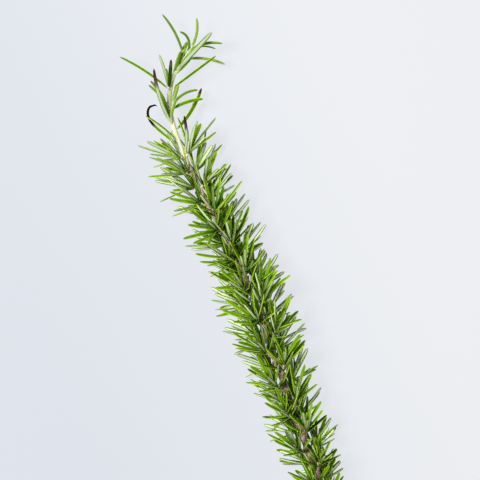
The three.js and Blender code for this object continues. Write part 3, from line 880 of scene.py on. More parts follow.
@dataclass
class TipPiece:
    """One piece of the growing tip: a leaf on the stem, a bud with leaves, or the tuft."""

    name: str
    foot: Foot
    plans: tuple[TipLeaf, ...]
    gap: float = 0.3
    bud_length: float = 2.4
    bud_splay: float = 32
    bud_radii: tuple[float, float] = (0.8, 0.38)
    bud_leaf_place: float = 0.6
    stalk_radii: tuple[float, float] = (0.45, 0.22)
    stalk_rings: int = 6
    stalk_age: float = 0.9
    stalk_root: float = 0.4
    stalk_reach: float = 0.3
    stand_off: float = 0.55
    tuft_start: float = 256.5
    tuft_rings: int = 22
    tuft_taper: float = 6
    tuft_end: float = 0.06
    tuft_girth: float = 1.02
    leaves: list[Leaf] = field(default_factory=list)

    def grow(self, line: StemLine, thicket: Thicket, owner: int) -> None:
        """Grows the piece's leaves.

        Args:
            line: The stem's line.
            thicket: Everything grown so far, which the leaves join.
            owner: The number of the piece.
        """
        self.line = line
        self.stem = line.place(self.plans[0].at)
        ways = [self.way(plan, self.stem) for plan in self.plans]
        self.outward = unit(np.sum(ways, axis=0))
        axis = tilt(self.stem.along, self.outward, self.bud_splay)
        foot = self.stem.centre + self.outward * (self.stem.radius + self.gap)
        self.bud = np.array([foot, foot + axis * self.bud_length])
        for plan in self.plans:
            stem = line.place(plan.at)
            start = stem.centre
            if self.foot is Foot.BUD:
                start = mix(self.bud[0], self.bud[1], self.bud_leaf_place)
            elif self.foot is Foot.STEM:
                start = start + self.way(plan, stem) * (stem.radius + self.stand_off)
            self.grow_leaf(plan, stem, start, thicket, owner)

    @staticmethod
    def way(plan: TipLeaf, stem: StemPlace) -> Array:
        """The way that a leaf leaves the stem, square to the stem."""
        level = tilt(stem.along, stem.right, plan.heading)
        return square_to(stem.along, tilt(level, stem.upper, plan.lift))

    def grow_leaf(
        self, plan: TipLeaf, stem: StemPlace, start: Array, thicket: Thicket, owner: int
    ) -> None:
        """Grows one leaf by its plan.

        Args:
            plan: The leaf's plan.
            stem: The place on the stem that it belongs to.
            start: Where it starts.
            thicket: Everything grown so far.
            owner: The number of the piece.
        """

        def heading(share: float) -> Array:
            """The leaf's direction at a share of its length."""
            swing = plan.heading + plan.turn * share**plan.hook
            level = tilt(stem.along, stem.right, swing)
            return tilt(level, stem.upper, plan.lift + plan.drop * share)

        steps = LEAF_STEPS + nearest(abs(plan.turn) / TURN_PER_STEP)
        points = grow(start, plan.length, steps, heading)
        radii, places = leaf_balls(steps, plan.width)
        thicket.add(halved(points), radii, owner, places)
        along = heading(0)
        upper = square_to(along, stem.upper)
        facing = tilt(upper, np.cross(along, upper), plan.face)
        normals = leaf_normals(points, facing)
        looks = {key: getattr(plan, key) for key in ("tone", "age", "dead", "shade")}
        self.leaves.append(Leaf(points, normals, plan.width, **looks))

    def stalk(self, points: Array, radii: tuple[float, float]) -> Strand:
        """A short young stalk that starts inside the stem.

        Args:
            points: Where it runs.
            radii: Its radius at its two ends.
        """
        shares = np.linspace(0, 1, self.stalk_rings)
        age = np.full(self.stalk_rings, self.stalk_age)
        return wood(smooth_line(points, shares), mix(*radii, shares), shares, age)

    def twigs(self) -> list[Strand]:
        """The piece's own wood: a bud's axis, a leaf's stalk, or the young end of the stem."""
        if self.foot is Foot.BUD:
            return [self.stalk(np.vstack([self.stem.centre, self.bud]), self.bud_radii)]
        if self.foot is Foot.STEM:
            start, after = self.leaves[0].points[:2]
            inside = mix(self.stem.centre, start, self.stalk_root)
            points = np.vstack([inside, start, mix(start, after, self.stalk_reach)])
            return [self.stalk(points, self.stalk_radii)]
        places = np.linspace(self.tuft_start, self.line.length, self.tuft_rings)
        points = np.array([self.line.point(at) for at in places])
        left = (self.line.length - places) / self.tuft_taper
        taper = np.sqrt(np.clip(left, self.tuft_end, 1))
        girth = look_up(self.line.radii, places) * taper * self.tuft_girth
        return [wood(points, girth, places, look_up(STEM_AGE, places))]

    def strands(self) -> list[Strand]:
        """Everything that the loom weaves for this piece."""
        return [*self.twigs(), *(leaf.strand() for leaf in self.leaves)]


def side_bud(name: str, *plans: TipLeaf) -> TipPiece:
    """A short bud beside the stem, with its leaves."""
    return TipPiece(name, Foot.BUD, plans)


def lone_leaf(name: str, *sizes: float, **looks: float) -> TipPiece:
    """A leaf that stands alone on the stem's skin."""
    return TipPiece(name, Foot.STEM, (TipLeaf(*sizes, **looks),))


TIP_PIECES = (
    TipPiece(
        "tip_tuft",
        Foot.TIP,
        (
            # the first three have raised tones and ages: painted light against the shade on their
            # sides turned from the key lamp
            TipLeaf(269, 45, 35, -10, 4, 23, 1.4, 0, tone=0.8, age=0.9),
            TipLeaf(274, 15, 50, 20, -10, 20, 1.8, 30, tone=0.7, age=0.4),
            TipLeaf(275, 20, 55, -16, 0, 15, 1.2, 60, tone=1, age=1),
            TipLeaf(261, 20, 0, 30, -22, 30, 2.5, 175, tone=0.2, age=0.6),
            TipLeaf(260, 35, -20, 20, -10, 13, 1.9, 150, tone=0.8, age=0.9),
            TipLeaf(276, -5, -45, 6, 0, 17, 1.4, 0, tone=0.9, age=0.7),
            TipLeaf(273, -10, -105, 14, -8, 14, 1.3, 10, 1.3, tone=0.1, age=0.1, shade=0.3),
            TipLeaf(270, -45, -30, 4, 0, 26, 1.4, 10, tone=0.25, age=0.3),
            TipLeaf(268, -30, 25, -12, 0, 11, 2.1, 0, tone=0.5, age=0.4, shade=0.2),
            TipLeaf(260, -10, 10, 24, -10, 13, 2.1, 20, tone=0.6, age=0.2, shade=0.2),
            TipLeaf(262, -5, 5, 10, 0, 13, 1.9, 10, tone=1, age=0.9),
        ),
    ),
    side_bud(
        "bud_front_upper",
        TipLeaf(251, -20, -10, 32, -14, 19, 1.8, 150, tone=0.9, age=0.9),
        TipLeaf(254, -5, -5, 50, -10, 19, 1.9, 0, tone=0, age=0, dead=0.25, shade=0.9),
        TipLeaf(252, -20, 5, 36, -10, 11, 1.6, 20, tone=0.9, age=0.8, dead=0.12),
    ),
    side_bud(
        "bud_left",
        TipLeaf(244, -25, -15, -10, 0, 14, 1.6, 20, tone=0.1, age=0.2, shade=0.3),
        TipLeaf(243, -35, -10, -22, 0, 14, 1.5, 20, tone=0.4, age=0.4),
    ),
    side_bud(
        "bud_right",
        TipLeaf(242, 5, 20, 4, 0, 10, 1.6, 20, tone=0.6, age=0.6),
        TipLeaf(242, 35, 60, -8, 0, 16, 1.4, 20, tone=0.4, age=0.3),
        TipLeaf(243, 15, 10, 14, 0, 11, 1.6, 20, tone=0.9, age=0.9),
    ),
    side_bud(
        "bud_front_lower",
        TipLeaf(234, -10, 5, 4, 0, 16, 2.2, -10, tone=0.5, age=0.3),
        TipLeaf(234, 20, 20, 16, -6, 12, 1.6, 20, tone=0.7, age=0.8),
    ),
    lone_leaf("leaf_left_long", 252, -60, -15, 12, -16, 30, 1.4, 15, tone=0.2, age=0.2),
    lone_leaf("leaf_right_long", 253, 42, 0, 10, 0, 28, 1.4, 20, tone=0.2, age=0.1),
    lone_leaf("leaf_right_broad", 241, 65, 30, 12, -6, 17, 1.8, 10, tone=0.4, age=0.1),
    lone_leaf("leaf_front_pale", 233, -15, 25, 30, -18, 32, 2, 165, tone=0.2, age=0.7, dead=0.36),
    lone_leaf("leaf_right_browned", 230, 60, -25, -14, 4, 26, 2.1, 20, tone=0.4, age=0.1, dead=0.2),
    lone_leaf("leaf_left_arched", 225, -25, -15, 20, -10, 20, 1.8, 60, tone=0.5, age=0.3),
    lone_leaf("leaf_left_dead", 222, -30, 185, 2, -2, 31, 1.5, 10, 4.5, age=0.2, dead=0.58),
    lone_leaf("leaf_front_browned", 216, 35, -25, 42, -24, 22, 1.8, 175, age=0.6, dead=0.42),
)


# ------------------------------------------------------------------ the stem


STEM_AGE: Rows = ((0, 0), (120, 0.34), (175, 0.52), (205, 0.66), (225, 0.84), (279, 1))


@dataclass
class Stem:
    """The woody stem, from its cut end to where its young tip starts."""

    line: StemLine
    first_ring: float = 0.8
    ring_spacing: float = 0.7
    node_swell: float = 0.16
    node_reach: float = 1.5
    waver: float = 0.035
    waver_rates: tuple[float, float] = (0.83, 0.37)
    waver_shift: float = 1
    cut_rings: Rows = ((-0.05, 0.03), (-0.04, 0.35), (-0.02, 0.8), (0, 0.94), (0.12, 1))
    pith_fade: float = 0.8

    def strands(self) -> list[Strand]:
        """The stem as one strand: its flat cut end, then ring after ring."""
        first = self.line.place(0)
        places = np.arange(self.first_ring, self.line.solid_end, self.ring_spacing)
        body = np.array([self.line.point(at) for at in places])
        off = np.abs(places[:, None] - self.line.nodes()).min(axis=1) / self.node_reach
        swell = np.exp(-(off**2))
        quick, slow = self.waver_rates
        waver = np.sin(places * quick) * np.sin(places * slow + self.waver_shift) * self.waver
        girth = look_up(self.line.radii, places) * (1 + self.node_swell * swell + waver)
        depths, widths = np.array(self.cut_rings).T
        ends = first.centre + first.along * depths[:, None]
        at = np.concatenate([0 * depths, places])
        cut = np.concatenate([1 - self.pith_fade * widths, 0 * places])
        cut[len(ends) - 1] = 0
        return [
            wood(
                np.vstack([ends, body]),
                np.concatenate([widths * first.radius, girth]),
                at,
                look_up(STEM_AGE, at),
                cut=cut,
                swell=np.concatenate([0 * depths, swell]),
            )
        ]


# ------------------------------------------------------------------ node trees


Socket = Union["Value", bpy.types.NodeSocket, float, int, tuple, bpy.types.ID]
Colour = tuple[float, float, float, float]
Span = tuple[float, float]


def add_object(name: str, data: bpy.types.ID) -> bpy.types.Object:
    """A new object of the scene that shows some data."""
    made = bpy.data.objects.new(name, data)
    bpy.context.scene.collection.objects.link(made)
    return made


class Graph:
    """A node tree that is built one node at a time."""

    def __init__(self, tree: bpy.types.NodeTree) -> None:
        """Takes the tree to build in."""
        self.tree = tree

    def node(
        self,
        kind: str,
        settings: dict[str, object] | None = None,
        sockets: dict[Union[str, int], Socket] | None = None,
    ) -> bpy.types.Node:
        """Adds one node.

        Args:
            kind: The node's type.
            settings: Its settings, which are set first. "stops" fills a colour ramp.
            sockets: The values or links of its sockets.

        Returns:
            The node.
        """
        made = self.tree.nodes.new(kind)
        for name, setting in (settings or {}).items():
            if name == "stops":
                self.fill_ramp(made.color_ramp, setting)
            else:
                setattr(made, name, setting)
        for name, value in (sockets or {}).items():
            self.feed(made.inputs[name], value)
        return made

    def feed(self, socket: bpy.types.NodeSocket, value: Socket) -> None:
        """Links a socket to an output, or sets its own value."""
        if isinstance(value, Value):
            value = value.socket
        if isinstance(value, bpy.types.NodeSocket):
            self.tree.links.new(value, socket)
        else:
            socket.default_value = value

    @staticmethod
    def fill_ramp(ramp: bpy.types.ColorRamp, stops: Sequence[tuple[float, tuple]]) -> None:
        """Gives a colour ramp its stops, each a place and a colour."""
        while len(ramp.elements) < len(stops):
            ramp.elements.new(1)
        for element, (place, colour) in zip(ramp.elements, stops):
            element.position = place
            element.color = colour


class Value:
    """A number that varies over a surface, with the arithmetic of numbers."""

    def __init__(self, graph: Graph, socket: bpy.types.NodeSocket) -> None:
        """Wraps an output socket of a graph."""
        self.graph = graph
        self.socket = socket

    def math(self, operation: str, *values: Socket, clamp: bool = False) -> Value:
        """Adds one Math node.

        Args:
            operation: What it does.
            values: What it works on, in order.
            clamp: Whether the result stays between 0 and 1.

        Returns:
            The result.
        """
        settings = {"operation": operation, "use_clamp": clamp}
        made = self.graph.node("ShaderNodeMath", settings, dict(enumerate(values)))
        return Value(self.graph, made.outputs[0])

    def __add__(self, other: Socket) -> Value:
        """This plus another."""
        return self.math("ADD", self, other)

    __radd__ = __add__

    def __sub__(self, other: Socket) -> Value:
        """This less another."""
        return self.math("SUBTRACT", self, other)

    def __rsub__(self, other: Socket) -> Value:
        """Another less this."""
        return self.math("SUBTRACT", other, self)

    def __mul__(self, other: Socket) -> Value:
        """This times another."""
        return self.math("MULTIPLY", self, other)

    def clamped(self) -> Value:
        """This, held between 0 and 1."""
        return self.math("ADD", self, 0.0, clamp=True)

    def smooth(self, low: float, high: float) -> Value:
        """0 below low, 1 above high, and a smooth rise between them."""
        made = self.graph.node(
            "ShaderNodeMapRange",
            {"interpolation_type": "SMOOTHSTEP"},
            {"Value": self, "From Min": low, "From Max": high},
        )
        return Value(self.graph, made.outputs["Result"])


def colour(red: int, green: int, blue: int) -> Colour:
    """A screen colour, 0 to 255 a channel, as the linear colour that a socket takes."""

    def linear(level: int) -> float:
        """One channel of it."""
        share = level / 255
        return share / 12.92 if share <= 0.04045 else ((share + 0.055) / 1.055) ** 2.4

    return linear(red), linear(green), linear(blue), 1.0


class Shader(Graph):
    """A material under construction, around one Principled shader."""

    def __init__(self, name: str, **constants: float) -> None:
        """Starts a material.

        Args:
            name: The material's name.
            constants: Sockets of the Principled shader that are the same all over the surface,
                with _ for each space.
        """
        self.material = bpy.data.materials.new(name)
        self.material.use_nodes = True
        super().__init__(self.material.node_tree)
        self.tree.nodes.clear()
        sockets = {key.replace("_", " "): value for key, value in constants.items()}
        self.surface = self.node("ShaderNodeBsdfPrincipled", None, sockets)
        self.node("ShaderNodeOutputMaterial", None, {"Surface": self.surface.outputs[0]})
        self.place = self.node("ShaderNodeTexCoord").outputs["Object"]

    def strand(self, name: str) -> Value:
        """A property of the strand that a place on the surface belongs to."""
        made = self.node("ShaderNodeAttribute", {"attribute_name": name})
        return Value(self, made.outputs["Fac"])

    def noise(self, scale: float, detail: float = 2, stretch: tuple = (1, 1, 1)) -> Value:
        """Mottling through the piece.

        Args:
            scale: How many times it changes in a metre.
            detail: How many finer layers it has.
            stretch: Its scale along each axis.

        Returns:
            A number from 0 to 1, mostly near the middle.
        """
        placed = self.node("ShaderNodeMapping", None, {"Vector": self.place, "Scale": stretch})
        sockets = {"Vector": placed.outputs[0], "Scale": scale, "Detail": detail}
        return Value(self, self.node("ShaderNodeTexNoise", None, sockets).outputs["Fac"])

    def blend(self, low: Socket, high: Socket, share: Socket) -> bpy.types.NodeSocket:
        """Mixes two colours.

        Args:
            low: The colour where the share is 0.
            high: The colour where the share is 1.
            share: How much of the second colour shows.

        Returns:
            The mixed colour.
        """
        sockets = {0: share, 6: low, 7: high}  # a Mix node's share and its two colours
        return self.node("ShaderNodeMix", {"data_type": "RGBA"}, sockets).outputs[2]

    def ramp(self, share: Socket, stops: Sequence[tuple[float, tuple]]) -> bpy.types.NodeSocket:
        """A colour read from a row of stops."""
        return self.node("ShaderNodeValToRGB", {"stops": stops}, {"Fac": share}).outputs["Color"]

    def finish(self, name: str, value: Socket) -> None:
        """Feeds one socket of the Principled shader."""
        self.feed(self.surface.inputs[name], value)

    def bump(self, height: Value, distance: float) -> None:
        """Gives the surface fine relief.

        Args:
            height: The relief, from 0 to 1.
            distance: How high 1 stands, in metres.
        """
        sockets = {"Height": height, "Distance": distance, "Strength": 1.0}
        self.finish("Normal", self.node("ShaderNodeBump", None, sockets).outputs[0])


# ------------------------------------------------------------------ finishes


@dataclass(frozen=True)
class LeafFinish:
    """A rosemary leaf: green and pebbled above, with rolled edges and pale felt below.

    A span, and ages, are where something sets in and where it is full. A share is how much of it
    then shows, and a fade is how much less of it shows on young leaves or deep in the brush.
    Relief is in metres.
    Its colour holds painted highlights on the edges, and painted shade deep in the brush and groove.
    """

    name: str
    painted_shade: Colour = colour(28, 52, 0)
    deep: Colour = colour(38, 84, 4)
    bright: Colour = colour(116, 164, 12)
    young: Colour = colour(138, 172, 44)
    edge_highlight: Colour = colour(216, 236, 84)
    foot: Colour = colour(206, 212, 150)
    felt: Colour = colour(228, 235, 194)
    young_felt: Colour = colour(164, 176, 148)
    painted_shade_felt: Colour = colour(134, 176, 26)
    point: Colour = colour(150, 136, 70)
    browned: Colour = colour(98, 74, 64)
    dried: Colour = colour(52, 32, 30)
    gloss: float = 0.4
    felt_roughness: float = 0.45
    dried_roughness: float = 0.2
    pebble_roughness: float = 0.2
    pebbles_per_metre: float = 2600
    mottles_per_metre: float = 420
    relief: float = 0.00009
    mottle_relief: float = 0.3
    felt_evenness: float = 0.3
    base_tone: float = -0.3
    tone_gain: float = 0.8
    mottle_gain: float = 0.9
    depth_shade_span: Span = (0.2, 0.8)
    depth_shade_share: float = 0.5
    young_share: float = 0.75
    groove_span: Span = (0.3, 1)
    groove_share: float = 0.5
    groove_fade: float = 0.4
    rim_span: Span = (0.2, 0.8)
    top_span: Span = (0.48, 0.56)
    edge_highlight_share: float = 0.8
    edge_highlight_fade: float = 0.4
    foot_span: Span = (0.02, 0.2)
    foot_ages: Span = (0.1, 0.5)
    felt_span: Span = (0.42, 0.6)
    felt_blur: float = 0.16
    felt_share: float = 0.95
    felt_ages: Span = (0.25, 0.7)
    painted_shade_felt_span: Span = (0.2, 0.9)
    painted_shade_span: Span = (0.4, 1)
    painted_shade_share: float = 0.75
    point_span: Span = (0.93, 1)
    point_share: float = 0.5
    dead_span: Span = (0, 0.02)
    dead_blur: float = 0.12
    browned_span: Span = (0, 0.12)
    dried_span: Span = (0.02, 0.3)

    def material(self) -> bpy.types.Material:
        """Makes the finish as a material."""
        shader = Shader(self.name, Specular_IOR_Level=0.0)
        pebbles = shader.noise(self.pebbles_per_metre, 3)
        mottle = shader.noise(self.mottles_per_metre, 2)
        felt = shader.strand("felt") + (mottle - 0.5) * self.felt_blur
        felt = felt.smooth(*self.felt_span)
        upper, lower = self.upper_side(shader, mottle), self.lower_side(shader)
        skin = shader.blend(upper, lower, felt * self.felt_share)
        # painted shade: leaves grow darker deep in the brush, where shade falls
        painted_shade = shader.strand("depth").smooth(*self.painted_shade_span)
        skin = shader.blend(skin, self.painted_shade, painted_shade * self.painted_shade_share)
        along, dead = shader.strand("along"), shader.strand("dead")
        point = along.smooth(*self.point_span)
        skin = shader.blend(skin, self.point, point * self.point_share)
        past = along - (1 - dead)
        tip = (past + (mottle - 0.5) * self.dead_blur).smooth(*self.browned_span)
        tip = tip * dead.smooth(*self.dead_span)
        brown = shader.blend(self.browned, self.dried, past.smooth(*self.dried_span))
        shader.finish("Base Color", shader.blend(skin, brown, tip))
        rough = self.gloss + felt * self.felt_roughness + tip * self.dried_roughness
        rough = rough + (pebbles - 0.5) * self.pebble_roughness
        shader.finish("Roughness", rough.clamped())
        pebbled = pebbles * (1 - felt * self.felt_evenness)
        shader.bump(pebbled + mottle * self.mottle_relief, self.relief)
        return shader.material

    def upper_side(self, shader: Shader, mottle: Value) -> bpy.types.NodeSocket:
        """The green of the upper side, with its groove, its light edges and its pale foot.

        Args:
            shader: The material under construction.
            mottle: Its coarse mottling.

        Returns:
            The colour, with painted shade deep inside and in the groove, and painted edge
            highlights.
        """
        age, depth = shader.strand("age"), shader.strand("depth")
        tone = shader.strand("tone") * self.tone_gain + mottle * self.mottle_gain + self.base_tone
        # painted shade: the green darkens deep in the brush
        tone = tone - depth.smooth(*self.depth_shade_span) * self.depth_shade_share
        green = shader.blend(self.deep, self.bright, tone.clamped())
        green = shader.blend(green, self.young, age * self.young_share)
        # painted shade: the green darkens along the groove down the middle, less on young leaves
        groove = shader.strand("rib").smooth(*self.groove_span)
        groove = groove * (self.groove_share - age * self.groove_fade)
        green = shader.blend(green, self.deep, groove)
        # painted highlight along the top of the rolled edges, dimmed deep in the brush as painted
        # shade
        edge_highlight = shader.strand("rim").smooth(*self.rim_span)
        edge_highlight = edge_highlight * shader.strand("top").smooth(*self.top_span)
        edge_highlight = edge_highlight * (self.edge_highlight_share - depth * self.edge_highlight_fade)
        green = shader.blend(green, self.edge_highlight, edge_highlight)
        foot = 1 - shader.strand("along").smooth(*self.foot_span)
        return shader.blend(green, self.foot, foot * age.smooth(*self.foot_ages))

    def lower_side(self, shader: Shader) -> bpy.types.NodeSocket:
        """The pale felt of the lower side, greyer on young leaves and greener deep inside.

        Args:
            shader: The material under construction.

        Returns:
            The colour, whose greener felt deep inside the brush is painted shade.
        """
        young = shader.strand("age").smooth(*self.felt_ages)
        felt = shader.blend(self.felt, self.young_felt, young)
        # painted shade on the felt deep in the brush, green as if lit by light bounced off the
        # leaves round it
        return shader.blend(felt, self.painted_shade_felt, shader.strand("depth").smooth(*self.painted_shade_felt_span))


@dataclass(frozen=True)
class BarkFinish:
    """The stem's skin, from grey-brown fissured bark to pale young green, and its cut end.

    Spans, ages and shares are as for a leaf, and relief is in metres.
    """

    name: str
    ages: tuple[tuple[float, Colour], ...] = (
        (0.0, colour(150, 128, 106)),
        (0.3, colour(156, 126, 106)),
        (0.52, colour(186, 150, 128)),
        (0.68, colour(190, 174, 142)),
        (0.84, colour(208, 212, 172)),
        (1.0, colour(196, 208, 146)),
    )
    fissure: Colour = colour(70, 54, 44)
    ring: Colour = colour(216, 194, 162)
    wood: Colour = colour(222, 204, 160)
    pith: Colour = colour(186, 152, 104)
    shine: float = 0.35
    roughness: float = 0.6
    old_roughness: float = 0.25
    streaks_per_metre: float = 1700
    streak_stretch: tuple[float, float, float] = (1, 0.12, 1)
    patches_per_metre: float = 160
    patchiness: float = 0.16
    relief: float = 0.0003
    young_relief: float = 0.1
    old_relief: float = 0.9
    old_ages: Span = (0.1, 0.8)
    swell_span: Span = (0.35, 0.95)
    swell_share: float = 0.5
    worn_span: Span = (0.55, 0.75)
    worn_share: float = 0.25
    young_ring_share: float = 0.2
    old_ring_share: float = 0.8
    crack_span: Span = (0.34, 0.5)
    crack_share: float = 0.8
    pith_span: Span = (0.75, 0.9)
    wood_span: Span = (0.1, 0.2)

    def material(self) -> bpy.types.Material:
        """Makes the finish as a material."""
        shader = Shader(self.name, Specular_IOR_Level=self.shine)
        age, cut = shader.strand("age"), shader.strand("cut")
        streaks = shader.noise(self.streaks_per_metre, 4, self.streak_stretch)
        patches = shader.noise(self.patches_per_metre, 2)
        old = 1 - age.smooth(*self.old_ages)
        aged = age + (patches - 0.5) * self.patchiness
        skin = shader.ramp(aged.clamped(), self.ages)
        rings = shader.strand("swell").smooth(*self.swell_span) * self.swell_share
        rings = rings + streaks.smooth(*self.worn_span) * self.worn_share
        rings = rings * (old * self.old_ring_share + self.young_ring_share)
        skin = shader.blend(skin, self.ring, rings)
        cracks = (1 - streaks.smooth(*self.crack_span)) * old
        skin = shader.blend(skin, self.fissure, cracks * self.crack_share)
        wood = shader.blend(self.wood, self.pith, cut.smooth(*self.pith_span))
        shader.finish("Base Color", shader.blend(skin, wood, cut.smooth(*self.wood_span)))
        shader.finish("Roughness", (self.roughness + old * self.old_roughness).clamped())
        shader.bump(streaks * (old * self.old_relief + self.young_relief), self.relief)
        return shader.material


@dataclass(frozen=True)
class TableFinish:
    """The pale table, lit from within so that what lies on it hardly throws a shadow."""

    name: str
    cool: Colour = colour(214, 220, 229)
    warm: Colour = colour(233, 235, 239)
    warm_span: Span = (-0.13, 0.1)
    skin: float = 0.08
    glow: float = 0.9
    roughness: float = 0.9

    def material(self) -> bpy.types.Material:
        """Makes the finish as a material."""
        shader = Shader(
            self.name,
            Base_Color=(self.skin, self.skin, self.skin, 1.0),
            Roughness=self.roughness,
            Specular_IOR_Level=0.0,
            Emission_Strength=self.glow,
        )
        # painted light: the glow is dimmer and bluer towards -X, brighter and whiter towards +X
        across = shader.node("ShaderNodeSeparateXYZ", None, {0: shader.place}).outputs["X"]
        share = Value(shader, across).smooth(*self.warm_span)
        shader.finish("Emission Color", shader.blend(self.cool, self.warm, share))
        return shader.material


# ------------------------------------------------------------------ the loom


class Slot(Enum):
    """The record's material slots."""

    BARK = "bark"
    LEAF = "leaf"
    YOUNG = "young_leaf"
    DEAD = "dead_leaf"


@dataclass(frozen=True)
class SectionPoint:
    """A corner of a leaf's section, in half widths, and what its finish shows there."""

    up: float
    across: float
    rim: float = 0
    rib: float = 0
    felt: float = 0
    top: float = 0


LEAF_SECTION = (
    SectionPoint(-0.02, 1, rim=1, top=0.5),
    SectionPoint(-0.34, 0.7, felt=0.3),
    SectionPoint(-0.1, 0, felt=1),
    SectionPoint(-0.34, -0.7, felt=0.3),
    SectionPoint(-0.02, -1, rim=1, top=0.5),
    SectionPoint(0.34, -0.56, top=1),
    SectionPoint(0.2, 0, rib=1, top=1),
    SectionPoint(0.34, 0.56, top=1),
)


def point_mesh(name: str, points: Array, edges: Sequence, rows: dict[str, Array]) -> bpy.types.Mesh:
    """A mesh of points and edges that carries numbers on its points.

    Args:
        name: The mesh's name.
        points: Where its points are.
        edges: The pairs of points that an edge joins.
        rows: The numbers of each property, one or three for a point.

    Returns:
        The mesh.
    """
    mesh = bpy.data.meshes.new(name)
    mesh.from_pydata(points.tolist(), edges, [])
    for key, row in rows.items():
        vector = row.ndim == 2
        made = mesh.attributes.new(key, "FLOAT_VECTOR" if vector else "FLOAT", "POINT")
        made.data.foreach_set("vector" if vector else "value", row.astype(np.float32).ravel())
    return mesh


class LoomGraph(Graph):
    """The loom's node tree, with short ways to the nodes that it needs often."""

    def first(self, kind: str, *sockets: Socket, **settings: object) -> bpy.types.NodeSocket:
        """The first output of a new node, with its sockets fed in order."""
        return self.node(kind, settings, dict(enumerate(sockets))).outputs[0]

    def named(self, key: str, kind: str = "FLOAT") -> bpy.types.NodeSocket:
        """A property of the strands."""
        made = self.node("GeometryNodeInputNamedAttribute", {"data_type": kind}, {"Name": key})
        return made.outputs["Attribute"]

    def times(self, number: Socket, other: Socket) -> bpy.types.NodeSocket:
        """Two numbers multiplied."""
        return self.first("ShaderNodeMath", number, other, operation="MULTIPLY")

    def drawn(self, lines: Socket, profile: Socket, width: Socket) -> bpy.types.NodeSocket:
        """A profile drawn along lines, with closed ends, as wide as their girth times a width."""
        sockets = {
            "Curve": lines,
            "Profile Curve": profile,
            "Scale": self.times(self.named("girth"), width),
            "Fill Caps": True,
        }
        return self.node("GeometryNodeCurveToMesh", None, sockets).outputs[0]


@dataclass(frozen=True)
class Bark:
    """How round a twig is drawn, and how deep its bark is cut, in metres."""

    sides: int
    relief: float = 0.0


